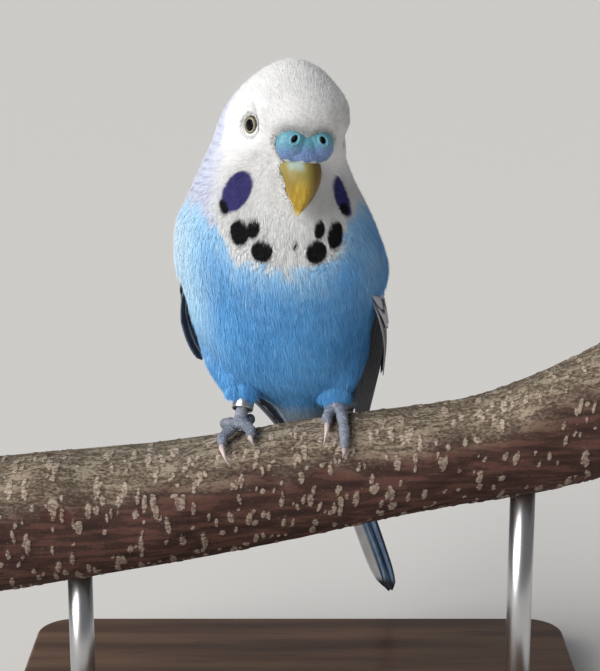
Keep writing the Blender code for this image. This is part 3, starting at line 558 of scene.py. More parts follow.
def along_line(points, radii, swell=None):
    """A tube along points, round at both ends, for sleeve; swell makes it thicker by angle and share."""
    keys = spread(0, 1, len(points))
    rows = [(key, *point, radius) for key, point, radius in zip(keys, points, radii)]

    def place(angle, share, reach):
        x, y, z, radius = smooth_row(rows, share)
        nearby = [smooth_row(rows, min(1, max(0, share + step)))[:3] for step in (-0.02, 0.02)]
        ahead = (Vector(nearby[1]) - Vector(nearby[0])).normalized()
        across = ahead.cross(Vector((0, 0, 1)))
        across = across.normalized() if across.length > 0.1 else Vector((1, 0, 0))
        over = across.cross(ahead)
        grow = swell(angle, share) if swell else 0
        out = across * math.cos(angle) + over * math.sin(angle)
        return Vector((x, y, z)) + out * (radius + grow) * reach

    return place


def bird_point(forward, side, height):
    """A place in the bird's frame, given in millimetres."""
    return Vector((side, -forward, height)) * MM


def rows_unit(vectors):
    return vectors / np.maximum(np.linalg.norm(vectors, axis=1), 1e-9)[:, None]


def laid_flat(ways, normals):
    """The ways turned to run along the surface that has these normals."""
    return rows_unit(ways - normals * (ways * normals).sum(axis=1)[:, None])


def distances_to(tree, points):
    return np.array([tree.find_nearest(point)[3] for point in points.tolist()])


def to_frame(matrix, points):
    """Points in a frame of the bird, in millimetres."""
    inverse = np.array(matrix.inverted())
    return (points @ inverse[:3, :3].T + inverse[:3, 3]) / MM


def round_body(points):
    """Degrees round the body's middle line, 0 in front and positive to its left, and the height."""
    local = to_frame(BIRD, points)
    heights, lefts, backs = np.array(BODY_LINE).T
    x = local[:, 0] - np.interp(local[:, 2], heights, lefts)
    y = local[:, 1] - np.interp(local[:, 2], heights, backs)
    return np.degrees(np.arctan2(x, -y)), local[:, 2]


def through_pixel(x, y):
    """Start and direction of the view's ray through a pixel of the photograph."""
    ahead = Vector((0, math.cos(VIEW_RISE), -math.sin(VIEW_RISE)))
    up = Vector((0, math.sin(VIEW_RISE), math.cos(VIEW_RISE)))
    way = ahead * PICTURE_FOCAL
    way += Vector((1, 0, 0)) * (x - PICTURE_MIDDLE[0]) + up * (PICTURE_MIDDLE[1] - y)
    return VIEW_TARGET - ahead * VIEW_DISTANCE, way.normalized()


# Skin under the feathers

def make_skin_shape():
    """The flesh moved in by the depth of the coat, with search trees of its outer form and the bill."""
    shape = merged(FLESH + BILL)
    for points, radii in (*TROUSERS, UNDERTAIL):
        places = [BIRD @ bird_point(*point) for point in points]
        sleeve(shape, 24, 20, along_line(places, [radius * MM for radius in radii]))
    for side in ("left", "right"):
        ball = bmesh.ops.create_uvsphere(shape, u_segments=24, v_segments=16, radius=EYE_RADIUS)["verts"]
        bmesh.ops.transform(shape, matrix=eye_place(side), verts=ball)
    shape = remeshed(shape, SKIN_VOXEL, 6)
    points = places_of(shape.verts)
    head = to_frame(HEAD, points)
    rise = np.zeros(len(points))
    swells = [(head, *swell) for swell in HEAD_SWELLS] + [(to_frame(BIRD, points), *FLANK_SWELL)]
    for places, middle, reach, height in swells:
        away = np.linalg.norm(places - np.array(middle), axis=1) / reach
        rise += height * MM * np.exp(-(away**2))
    bill = merged(BILL)
    horn = BVHTree.FromBMesh(bill)
    bill.free()
    for middle in EYE_OPENINGS:
        rise *= ease(2.6 * MM, 4.6 * MM, np.linalg.norm(points - middle, axis=1))
    rise *= ease(0.6 * MM, 2.4 * MM, distances_to(horn, points))
    for vert, height in zip(shape.verts, rise.tolist()):
        vert.co += vert.normal * height
    smooth_over(shape, 3)
    outer = BVHTree.FromBMesh(shape)
    points = places_of(shape.verts)
    depths = np.where(distances_to(horn, points) < 0.5 * MM, 0.6 * MM, coat_depth(points))
    for vert, depth in zip(shape.verts, depths.tolist()):
        vert.co -= vert.normal * depth
    shape.normal_update()
    return shape, outer, horn


def face_distance(points):
    """Distance in metres from about the edge of the nearest of the eyes, the cere and the bill."""
    nearest = np.full(len(points), 1.0)
    for centre, reach in FACE_MIDDLES:
        nearest = np.minimum(nearest, np.linalg.norm(points - centre, axis=1) - reach)
    return nearest


def coat_depth(points):
    """How deep the skin lies under the tips of the coat."""
    near = face_distance(points)
    return (0.35 + 0.85 * ease(0.0, 9 * MM, near)) * MM


def eye_place(side):
    """Frame of an eye: z runs out along its axis, from the middle of the ball."""
    sign = 1 if side == "left" else -1
    aside = Matrix.Rotation(math.radians(sign * 90), 4, "Y")
    turn = Matrix.Rotation(math.radians(-sign * EYE_TURN), 4, "Z") @ aside
    out = turn @ Vector((0, 0, 1))
    front = Vector((sign * EYE_FRONT.x, EYE_FRONT.y, EYE_FRONT.z))
    return HEAD @ Matrix.Translation(front - out * EYE_RADIUS) @ turn


def middle_of(node):
    low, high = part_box(node)
    return np.array((low + high) / 2)


EYE_OPENINGS = [np.array(eye_place(side) @ Vector((0, 0, LID_HEIGHT))) for side in ("left", "right")]
FACE_MIDDLES = [
    (EYE_OPENINGS[0], 2.1 * MM),
    (EYE_OPENINGS[1], 2.1 * MM),
    (middle_of("cere"), 5.5 * MM),
    (middle_of("beak_upper"), 5.0 * MM),
]

# Markings on the plumage: pixel of the middle in the photograph, half width and half height in
# millimetres, turn in degrees, and the colour where it isn't black
CHEEK_PATCHES = (
    (237.5, 191.5, 3.0, 5.3, -34, VIOLET),
    (339.5, 197.5, 2.1, 4.7, 8, VIOLET),
)
SPOTS = (
    (225.5, 207, 1.1, 1.7, 25),
    (342.5, 210, 1.3, 1.4, 0),
    (240.5, 232.5, 2.2, 2.9, 5),
    (253.8, 229.5, 1.5, 2.1, -15),
    (262.5, 251, 2.4, 2.5, 0),
    (318.7, 230, 1.2, 2.1, -12),
    (334, 235.5, 1.9, 3.2, -12),
    (315.5, 252, 2.4, 2.7, -8),
    (295, 246, 0.45, 1.0, -25),
)
# Lower border of the white bib: angle round the body in degrees, and height over the perch in
# millimetres
BIB_BORDER = (
    (-180, 50),
    (-100, 53),
    (-60, 54),
    (-40, 53),
    (-25, 49.5),
    (-18, 46.5),
    (-10, 42.6),
    (0, 41.2),
    (28, 39.6),
    (42, 40.4),
    (52, 42.4),
    (60, 46.5),
    (70, 51),
    (90, 53),
    (180, 50),
)


class Plumage:
    """Colours of the plumage at points over the skin."""

    def __init__(self, tree):
        self.marks = []
        for x, y, half_width, half_height, turn, *colour in CHEEK_PATCHES + SPOTS:
            hit, normal, _, _ = tree.ray_cast(*through_pixel(x, y))
            across = Vector((0, 0, 1)).cross(normal).normalized()
            over = normal.cross(across)
            turn = math.radians(turn)
            axes = (
                (across * math.cos(turn) + over * math.sin(turn)) / (half_width * MM),
                (over * math.cos(turn) - across * math.sin(turn)) / (half_height * MM),
                normal / (6 * MM),
            )
            colour = colour[0] if colour else BLACK
            self.marks.append((np.array(hit), np.array(axes), np.array(colour)))

    def __call__(self, points, stray):
        """Colours at points; stray is a random number from 0 to 1 for each."""
        angle, height = round_body(points)
        head = to_frame(HEAD, points)
        coarse = ripple(points, 9 * MM, 1)
        fine = ripple(points, 2.2 * MM, 2)

        colours = np.tile(np.array(SKY), (len(points), 1))

        def blend(colour, share):
            share = np.clip(share, 0, 1)[:, None]
            colours[:] = colours * (1 - share) + np.array(colour) * share

        blend(DEEP_SKY, 0.42 + 0.3 * coarse + 0.25 * fine)
        blend(PALE_SKY, ease(22, 44, height) * (0.25 + 0.25 * coarse) + 0.45 * (stray > 0.88))
        blend(PALE_SKY, ease(-18, -48, angle) * ease(8, 30, height))
        blend(ICE, ease(-30, -66, angle) * ease(22, 42, height) * 0.8)
        under = to_frame(BIRD, points)[:, 1] + 0.75 * height - 24
        blend(VENT, ease(3, -2, height) * ease(1.5, -2, under) * 0.9)

        border = np.interp(angle, *np.array(BIB_BORDER).T)
        above = height - border + 1.1 * fine + 3.4 * (stray - 0.5)
        blend(PALE_SKY, ease(-10, -0.5, above) * 0.7)
        blend(WHITE, ease(-1.6, 1.6, above))
        # Painted shade: the bib greyer lower down, under the head
        blend(SHADED_BIB, ease(-1.6, 1.6, above) * ease(64, 54, height))

        behind = head[:, 1] - 0.3 * np.maximum(head[:, 2], 0) + 1.2 * fine
        low_side = ease(-0.5, 5.0, behind) * ease(-3, 1, above)
        blend(LAVENDER, low_side * 0.9)
        bars = np.sin(height * math.tau / 1.9 + 1.4 * coarse + 0.6 * fine)
        flecked = ease(1, 5, behind) * ease(-2, 2, above) * ease(0.35, 0.8, bars)
        nape = ease(2, 14, head[:, 1])
        blend(FLECK, flecked * (0.4 + 0.35 * nape) * (stray > 0.45))

        return colours

    def mark_distance(self, points):
        """How far out points are from the middle of the nearest mark, where its edge is at 1."""
        nearest = np.full(len(points), 9.0)
        for centre, axes, _ in self.marks:
            nearest = np.minimum(nearest, np.linalg.norm((points - centre) @ axes.T, axis=1))
        return nearest

    def mark(self, points, stray, colours):
        """Lays the cheek patches and throat spots over the colours of points."""
        for centre, axes, colour in self.marks:
            near = np.flatnonzero(np.abs(points - centre).max(axis=1) < 8 * MM)
            local = (points[near] - centre) @ axes.T
            out = np.sqrt((local**2).sum(axis=1)) + 0.12 * (stray[near] - 0.5)
            share = ease(1.05, 0.97, out)[:, None]
            tone = 0.65 + 0.7 * stray[near][:, None]
            colours[near] = colours[near] * (1 - share) + colour * tone * share


# Feathers of the coat

class Coat:
    """The skin that the tufts grow from, its markings, and how far from it the cere and bill are."""

    def __init__(self, shape, outer, horn):
        bmesh.ops.triangulate(shape, faces=shape.faces)
        shape.verts.index_update()
        self.points = places_of(shape.verts)
        self.normals = np.array([vert.normal for vert in shape.verts])
        self.faces = np.array([[vert.index for vert in face.verts] for face in shape.faces])
        self.tree = BVHTree.FromPolygons(self.points.tolist(), self.faces.tolist())
        self.outer = outer
        self.horn = horn
        self.plumage = Plumage(self.tree)

    def roots(self, density, seed):
        """Places over the skin and its normals there, as many to the square millimetre as density says."""
        corners = self.points[self.faces]
        crossed = np.cross(corners[:, 1] - corners[:, 0], corners[:, 2] - corners[:, 0])
        areas = np.linalg.norm(crossed, axis=1) / 2 / MM**2
        weights = np.cumsum(areas * density(corners.mean(axis=1)))
        rng = np.random.default_rng(seed)
        count = int(weights[-1])
        places = (np.arange(count) + rng.uniform(0, 1, count)) * weights[-1] / count
        chosen = np.minimum(np.searchsorted(weights, places), len(weights) - 1)
        a, b = rng.uniform(0, 1, (2, count))
        flip = a + b > 1
        a[flip], b[flip] = 1 - a[flip], 1 - b[flip]
        shares = np.stack([1 - a - b, a, b], axis=1)[:, :, None]
        roots = (self.points[self.faces[chosen]] * shares).sum(axis=1)
        normals = rows_unit((self.normals[self.faces[chosen]] * shares).sum(axis=1))
        clear = self.horn_distance(roots) > 0.1 * MM
        for middle in EYE_OPENINGS:
            clear &= np.linalg.norm(roots - middle, axis=1) > LID_RADIUS + 0.36 * MM
        return roots[clear], normals[clear]

    def horn_distance(self, points):
        """How far points are from the cere and bill, up to a few millimetres and below 0 inside them."""
        distances = np.full(len(points), HORN_REACH)
        for i, point in enumerate(points.tolist()):
            found, normal, _, distance = self.horn.find_nearest(point, HORN_REACH)
            if found is not None:
                distances[i] = math.copysign(distance, (Vector(point) - found).dot(normal))
        return distances

    def towards_horn(self, points):
        """The way from each point to the nearest place on the cere and bill."""
        ways = np.zeros((len(points), 3))
        for i, point in enumerate(points.tolist()):
            found = self.horn.find_nearest(point, HORN_REACH)[0]
            if found is not None:
                ways[i] = (found - Vector(point)).normalized()
        return ways


def follow(tree, start, ways, lengths):
    """Where the tree's surface is after so long a step along it, its normals and the way on."""
    if tree is None:
        return start + ways * lengths[:, None], None, ways
    ends, turned = np.empty_like(start), np.empty_like(start)
    for i, aim in enumerate((start + ways * lengths[:, None]).tolist()):
        ends[i], turned[i], _, _ = tree.find_nearest(aim)
    return ends, turned, laid_flat(ways, turned)


def lie_of_feathers(points, normals):
    """The way that feathers point, along the skin: back from the bill, then down to the tail."""
    angle, height = round_body(points)
    from_bill = rows_unit(points - middle_of("cere"))
    head = to_frame(HEAD, points)
    to_tail = rows_unit(middle_of("tail") - points)
    on_head = ease(46, 62, height)[:, None]
    thigh = (ease(24, 16, height) * ease(45, 70, np.abs(angle)) * ease(-4, 2, height))[:, None]
    body = to_tail * 0.75 + DOWN * 0.5
    beside = ease(8.5, 5.5, np.abs(head[:, 0])) * ease(-1, -5, head[:, 2]) * ease(-3, -8, head[:, 1])
    beside = beside[:, None]
    from_bill = from_bill * (1 - beside) + (DOWN + 0.25 * from_bill) * beside
    ways = from_bill * on_head + body * (1 - on_head)
    ways = ways * (1 - thigh) + DOWN * thigh
    ways[:, 2] -= 0.25 * ease(4, 16, head[:, 1]) * on_head[:, 0]
    ways += 0.05 * np.stack([ripple(points, 7 * MM, seed) for seed in (11, 12, 13)], axis=1)
    return laid_flat(ways, normals)


def unwrap(points):
    """A flat map of the skin: angle round the body's middle line, and way down from the crown."""
    radius, middle, whole = 16, 68, 112
    angle, height = round_body(points)
    head = to_frame(HEAD, points)
    over = np.arccos(np.clip(head[:, 2] / np.maximum(np.linalg.norm(head, axis=1), 1e-6), -1, 1))
    path = np.where(height > middle, radius * over, radius * math.pi / 2 + middle - height)
    shares = np.stack([angle / 360 + 0.5, np.clip(path / whole, 0, 1)], axis=1)
    return 0.02 + 0.96 * shares


def give_colours(mesh, colours):
    layer = mesh.color_attributes.new("plumage", "FLOAT_COLOR", "POINT")
    rgba = np.concatenate([colours, np.ones((len(colours), 1))], axis=1)
    layer.data.foreach_set("color", rgba.reshape(-1).astype(np.float32))


def blade_mesh(name, coat, tree, roots, normals, ways, size, rng, dark_tips=0.0):
    """Many small tufts of flat barbs in one mesh, along the tree's surface or, with none, hanging free.

    Size is each tuft's length, half width and lift, its number of barbs and the width of a barb.
    """
    count = len(roots)
    lengths, widths, lifts, barbs, barb_width = size
    twist = rng.normal(0, 0.12, count)[:, None]
    ways = rows_unit(ways + np.cross(normals, ways) * twist)
    middles, middle_normals, middle_ways = follow(tree, roots, ways, lengths / 2)
    tips, tip_normals, tip_ways = follow(tree, middles, middle_ways, lengths / 2)
    line = np.stack([roots, middles, tips], axis=1)
    outs = np.stack([normals] * 3 if tree is None else [normals, middle_normals, tip_normals], axis=1)
    aheads = np.stack([ways, middle_ways, tip_ways], axis=1)
    sides = np.cross(aheads, outs)

    fan = np.tile(np.linspace(-1, 1, barbs), (count, 1)) + rng.uniform(-0.25, 0.25, (count, barbs))
    reach = (1 - 0.22 * fan**2) * rng.uniform(0.8, 1.0, (count, barbs))
    roll = rng.uniform(-0.15, 0.15, (count, barbs))
    stray = np.abs(rng.normal(0, 0.17, (count, barbs))) ** 1.5
    stray += 0.5 * (rng.uniform(0, 1, (count, barbs)) > 0.98)
    tuft_lift = lifts[:, None] * (0.8 + 0.4 * rng.uniform(0, 1, (count, 1)))

    def at(share):
        """Middle, side and outward directions of every barb at a share of its length."""
        t = share * reach * 2
        first = np.minimum(t, 1)[:, :, None]
        second = np.clip(t - 1, 0, 1)[:, :, None]

        def along(rows):
            low = rows[:, None, 0] * (1 - first) + rows[:, None, 1] * first
            return low * (1 - second) + rows[:, None, 2] * second

        side, out = along(sides), along(outs)
        sideways = fan * (0.35 + 0.65 * share) * widths[:, None]
        height = -0.12 * MM + (tuft_lift + stray * lifts[:, None]) * share**0.8
        height -= sideways**2 / (5 * MM)
        return along(line) + side * sideways[:, :, None] + out * height[:, :, None], side, out

    rows = []
    for share, width in ((0, 0.7), (0.5, 1.0)):
        middle, side, out = at(share)
        wide = side * np.cos(roll)[:, :, None] + out * np.sin(roll)[:, :, None]
        wide *= barb_width / 2 * width
        rows += [middle - wide, middle + wide]
    rows.append(at(1.0)[0])
    verts = np.stack(rows, axis=2)

    visible, _, _ = at(0.75)
    chance = rng.uniform(0, 1, (count, 1)) * 0.65 + rng.uniform(0, 1, (count, barbs)) * 0.35
    chance = chance.reshape(-1)
    colours = coat.plumage(visible.reshape(-1, 3), chance)
    tone = (1 + 0.07 * rng.uniform(-1, 1, (count, 1))) * (1 + 0.06 * rng.uniform(-1, 1, (count, barbs)))
    colours = np.repeat(colours, BARB_POINTS, axis=0)
    coat.plumage.mark(verts.reshape(-1, 3), np.repeat(chance, BARB_POINTS), colours)
    colours = colours.reshape(count, barbs, BARB_POINTS, 3) * tone[:, :, None, None]
    colours = np.clip(colours * np.array(BARB_TONES)[:, None], 0, 1)
    dark = rng.uniform(0, 1, (count, barbs)) < dark_tips
    colours[dark] *= np.array((1, 1, 0.6, 0.6, 0.12))[:, None]

    spots = unwrap(roots)[:, None, None, :]
    patch = np.stack([BARB_ACROSS, BARB_ALONG], axis=1) * 0.003
    marks = np.broadcast_to(spots + patch, (count, barbs, BARB_POINTS, 2))

    total = count * barbs
    mesh = bpy.data.meshes.new(name)
    starts = (np.arange(total) * BARB_POINTS)[:, None, None]
    triangles = (starts + np.array(BARB_TRIANGLES)).reshape(-1, 3)
    mesh.vertices.add(total * BARB_POINTS)
    mesh.vertices.foreach_set("co", verts.reshape(-1).astype(np.float32))
    mesh.loops.add(len(triangles) * 3)
    mesh.loops.foreach_set("vertex_index", triangles.reshape(-1).astype(np.int32))
    mesh.polygons.add(len(triangles))
    mesh.polygons.foreach_set("loop_start", np.arange(0, len(triangles) * 3, 3, dtype=np.int32))
    mesh.update(calc_edges=True)
    give_colours(mesh, colours.reshape(-1, 3))
    uv = mesh.uv_layers.new(name="OFBake")
    flat = marks.reshape(-1, 2)[triangles.reshape(-1)]
    uv.data.foreach_set("uv", flat.reshape(-1).astype(np.float32))
    return mesh


def tuft_sizes(roots, marked, barbs, barb_width):
    """Length, half width and lift of each tuft, smallest on the face and short where it is marked."""
    _, height = round_body(roots)
    near = face_distance(roots) / MM
    on_head = ease(46, 60, height)
    full = 5.6 + 1.2 * ease(30, 10, height)
    throat = ease(64, 58, height) * on_head
    lengths = full * (1 - on_head) + (4.4 - 1.2 * throat) * on_head
    lengths = np.minimum(lengths, 1.1 + 0.42 * np.maximum(near, 0))
    lengths = np.where(marked < 2, np.minimum(lengths, 1.5 + 3 * ease(1.1, 2, marked)), lengths)
    widths = np.minimum(0.24 * lengths, 1.3)
    lifts = 0.28 + (0.72 - 0.15 * on_head) * ease(1, 9, near)
    return lengths * MM, widths * MM, lifts * MM, barbs, barb_width * MM


def rim_of_face(coat, rng):
    """Short, partly dark bristles round the cere and bill, whose tips lie over their edges."""
    roots, normals = coat.roots(lambda points: 20 * (face_distance(points) < 5 * MM), 6)
    gap = coat.horn_distance(roots)
    band = (gap > 0.3 * MM) & (gap < 1.15 * MM)
    roots, normals = roots[band], normals[band]
    beside = ease(1.0, -3.0, to_frame(HEAD, roots)[:, 2])[:, None]
    towards = coat.towards_horn(roots)
    ways = towards * (0.25 + 0.35 * beside) + DOWN * beside * 0.8 + 0.12 * rng.normal(0, 1, roots.shape)
    ways = laid_flat(ways - towards * 0.6 * (1 - beside), normals)
    lengths = 0.9 + rng.uniform(-0.2, 0.4, len(roots))
    size = lengths * MM, np.full(len(roots), 0.18 * MM), np.full(len(roots), 0.06 * MM), 3, 0.09 * MM
    return blade_mesh("coat_face", coat, coat.outer, roots, normals, ways, size, rng, 0.25)


def rim_of_eyes(coat, rng):
    """The finest tufts, some of them dark, that fan out round the lids."""
    roots, normals = coat.roots(lambda points: 40 * (face_distance(points) < 2.5 * MM), 8)
    fans = []
    for middle in EYE_OPENINGS:
        away = roots - middle
        gap = np.linalg.norm(away, axis=1) - LID_RADIUS
        band = (gap > 0.45 * MM) & (gap < 1.1 * MM)
        fans.append((roots[band], normals[band], away[band]))
    roots, normals, ways = [np.concatenate(parts) for parts in zip(*fans)]
    ways = laid_flat(ways, normals)
    behind = np.array(HEAD.to_3x3() @ Vector((0, 0.85, 0.5)))
    dark = 0.5 * ease(0.1, 0.9, ways @ behind)[:, None]
    lengths = 0.75 + rng.uniform(-0.15, 0.3, len(roots))
    size = lengths * MM, np.full(len(roots), 0.2 * MM), np.full(len(roots), 0.12 * MM), 3, 0.1 * MM
    return blade_mesh("coat_lids", coat, coat.outer, roots, normals, ways, size, rng, dark)


def leg_fringe(coat, rng):
    """Longer tufts that hang free from the legs' feathering, down over the shanks."""
    roots, _ = coat.roots(lambda points: 16 * (np.abs(to_frame(BIRD, points)[:, 2] - 7) < 6), 7)
    hanging = []
    for forward, aside, low in FRINGE:
        axis = np.array(BIRD @ bird_point(forward, aside, 0))
        away = (roots - axis) * np.array((1, 1, 0))
        reach = np.linalg.norm(away, axis=1)
        height = roots[:, 2] - PERCH_TOP
        drop = height - low * MM
        chosen = (reach < 4.2 * MM) & (reach > 2.0 * MM) & (drop > 0.5 * MM) & (drop < 5.5 * MM)
        hanging.append((roots[chosen], rows_unit(away[chosen]), drop[chosen]))
    roots, outs, drop = [np.concatenate(parts) for parts in zip(*hanging)]
    ways = DOWN + 0.06 * rng.normal(0, 1, roots.shape)
    lengths = np.clip(drop * rng.uniform(0.95, 1.25, len(roots)), 1.6 * MM, 6 * MM)
    size = lengths, np.minimum(0.25 * lengths, 1.0 * MM), np.full(len(roots), 0.4 * MM), 8, 0.15 * MM
    return blade_mesh("coat_trousers", coat, None, roots, outs, rows_unit(ways), size, rng)


def make_plumage():
    shape, outer, horn = make_skin_shape()
    coat = Coat(shape, outer, horn)
    finish = Finish("plumage", roughness=0.8, specular_ior_level=0.15, sheen_weight=0.05)
    finish.paint(base_color=finish.attribute("plumage", output=0))

    mesh = mesh_of("skin", shape)
    middling = np.full(len(coat.points), 0.5)
    colours = coat.plumage(coat.points, middling) * 0.85
    coat.plumage.mark(coat.points, middling, colours)
    # Next to the cere and bill the skin is dark: partly its colour, partly painted shade in the gap under
    # the feathers
    bare_and_shaded = ease(0.9 * MM, 0.5 * MM, coat.horn_distance(coat.points))[:, None]
    colours = colours * (1 - bare_and_shaded) + np.array(FACE_SKIN_AND_SHADE) * bare_and_shaded
    give_colours(mesh, colours)
    show("skin", mesh, finish, "white_feather", *FLESH)

    def density(points):
        near = face_distance(points) / MM
        _, height = round_body(points)
        on_head = ease(46, 60, height)
        marked = ease(1.8, 1.3, coat.plumage.mark_distance(points))
        return (2.4 + 3.0 * on_head) * (1 + 1.6 * ease(7, 1, near) + 1.8 * marked)

    roots, normals = coat.roots(density, 4)
    angle, height = round_body(roots)
    in_front = np.abs(angle - 20) < 75
    rng = np.random.default_rng(9)
    ways = lie_of_feathers(roots, normals)
    marked = coat.plumage.mark_distance(roots)
    for name, (low, high, front, barbs, barb_width, slot) in COAT_PIECES.items():
        chosen = (height > low) & (height <= high)
        if front is not None:
            chosen &= in_front == front
        size = tuft_sizes(roots[chosen], marked[chosen], barbs, barb_width)
        mesh = blade_mesh(name, coat, coat.tree, roots[chosen], normals[chosen], ways[chosen], size, rng)
        show(name, mesh, finish, slot, smooth=False)
    show("coat_face", rim_of_face(coat, rng), finish, "white_feather", smooth=False)
    show("coat_lids", rim_of_eyes(coat, rng), finish, "white_feather", smooth=False)
    show("coat_trousers", leg_fringe(coat, rng), finish, "blue_feather", smooth=False)
    return outer


flesh_surface = make_plumage()


# Wings and tail

class Sheet:
    """A curved sheet that feathers lie over, looked up from a table of its points.

    Place gives its point at u along it and v across it, and out is on the side that shows.
    """

    def __init__(self, place, length, low, high, out):
        self.low, self.high, self.length = low, high, length
        self.steps = np.linspace(0, length, SHEET_ALONG + 1)
        across = np.linspace(low, high, SHEET_ACROSS + 1)
        self.points = np.array([[BIRD @ place(u, v) for v in across] for u in self.steps])
        along = np.gradient(self.points, axis=0)
        across = np.gradient(self.points, axis=1)
        crossed = np.cross(along, across)
        crossed /= np.linalg.norm(crossed, axis=2)[:, :, None]
        outward = np.array(BIRD.to_3x3() @ Vector(out))
        self.normals = crossed * (1 if (crossed.mean(axis=(0, 1)) @ outward) > 0 else -1)
        self.widths = np.linalg.norm(self.points[:, -1] - self.points[:, 0], axis=1) / (high - low) / MM

    def at(self, u, v, lift):
        """Points of the sheet, lifted from it by so many millimetres."""
        x = np.clip(u / self.length, 0, 1) * SHEET_ALONG * 0.99999
        y = np.clip((v - self.low) / (self.high - self.low), 0, 1) * SHEET_ACROSS * 0.99999
        i, j = x.astype(int), y.astype(int)
        a, b = (x - i)[:, None], (y - j)[:, None]

        def between(table):
            near = table[i, j] * (1 - b) + table[i, j + 1] * b
            return near * (1 - a) + (table[i + 1, j] * (1 - b) + table[i + 1, j + 1] * b) * a

        return between(self.points) + between(self.normals) * (lift * MM)[:, None]

    def share(self, u):
        """How much of v one millimetre across the sheet is, at u."""
        return 1 / np.interp(u, self.steps, self.widths)


def wing_sheet(side):
    sign = 1 if side == "left" else -1
    rows = [(row[0], *row[1], *row[2], row[3]) for row in WING_ROWS]

    def place(u, v):
        row = smooth_row(rows, u)
        lower, upper, bulge = Vector(row[0:3]), Vector(row[3:6]), row[6]
        chord = upper - lower
        out = Vector((-0.6, 0.8, 0.25))
        out = (out - chord * out.dot(chord) / chord.length_squared).normalized()
        point = lower.lerp(upper, v) + out * bulge * 4 * v * (1 - v)
        off = float(np.interp(u, WING_OUT_AT, WING_OUT[side]))
        return bird_point(point.x, sign * (point.y + off), point.z)

    return Sheet(place, 1.0, -0.25, 1.3, (sign, 0.6, 0.3))


def tail_sheet():
    root, tip = bird_point(*TAIL_ROOT), bird_point(*TAIL_TIP)
    along = (tip - root).normalized()
    side = Vector((1, 0, 0))
    side = (side - along * side.dot(along)).normalized()
    up = side.cross(along).normalized()
    up = up if up.z > 0 else -up

    def place(u, v):
        return root + along * (u * MM) + side * (v * MM) - up * (TAIL_ROUND * v * v * MM)

    length = (tip - root).length / MM
    return Sheet(place, length, -16.0, 16.0, up), length


def blunt(share, root, round_off):
    """Half width of a feather from its root to its rounded tip, as a share of the widest."""
    swell = root + (1 - root) * ease(0, 0.35, share)
    return swell * np.sqrt(np.clip(1 - np.clip((share - 1 + round_off) / round_off, 0, 1) ** 2.2, 0, 1))


def add_vane(
    shape, sheet, feather, rng, thick=0.16, root_width=0.45, round_off=0.3, bow=0.3, shade=None
):
    """A closed vane over a sheet, arched over its shaft, with the feather's own tone and map."""
    root, tip, half_width, lifts = feather
    grid = bmesh.ops.create_grid(shape, x_segments=8, y_segments=24, size=0.5)["verts"]
    faces = list(dict.fromkeys(face for vert in grid for face in vert.link_faces))
    flat = shape.loops.layers.uv["vane"]
    tone = shape.verts.layers.float["tone"]
    for face in faces:
        for loop in face.loops:
            loop[flat].uv = (loop.vert.co.x + 0.5, loop.vert.co.y + 0.5)
    shade = rng.uniform(0, 1) if shade is None else shade
    for vert in grid:
        vert[tone] = shade
    across = np.array([vert.co.x * 2 for vert in grid])
    share = np.array([vert.co.y + 0.5 for vert in grid])
    width = np.maximum(blunt(share, root_width, round_off), 0.05)
    wave = 0.05 * np.sin(share * 9 + rng.uniform(0, 6)) * np.abs(across)
    u = root[0] + (tip[0] - root[0]) * share
    v = root[1] + (tip[1] - root[1]) * share
    v = v + across * width * (1 + wave) * half_width * sheet.share(u)
    lift = lifts[0] + (lifts[1] - lifts[0]) * share + bow * (1 - across**2)
    points = sheet.at(u, v, lift)
    for vert, point in zip(grid, points.tolist()):
        vert.co = point
    bmesh.ops.solidify(shape, geom=faces, thickness=thick * MM)


def new_feathers():
    shape = bmesh.new()
    shape.loops.layers.uv.new("vane")
    shape.verts.layers.float.new("tone")
    return shape


def tier(count, roots, tips, half_widths, lifts, rng, stray):
    """Feathers side by side: each of their measures goes from its first to its last value."""
    feathers = []
    for t in spread(0, 1, count):
        root = [a + (b - a) * t for a, b in zip(*roots)]
        tip = [a + (b - a) * t for a, b in zip(*tips)]
        tip = [tip[0] + rng.normal(0, stray[0]), tip[1] + rng.normal(0, stray[1])]
        half_width = half_widths[0] + (half_widths[1] - half_widths[0]) * t
        lift = [a + (b - a) * t for a, b in zip(*lifts)]
        feathers.append((root, tip, half_width * rng.uniform(0.94, 1.06), lift))
    return feathers


def wing_piece(name, shape, side, finish):
    """Vanes of one wing. The left wing's sheet is a mirror image, which turns them inside out."""
    if side == "left":
        bmesh.ops.reverse_faces(shape, faces=shape.faces)
    finished(f"{name}_{side}", shape, finish, "wing_feather", f"wing_{side}")


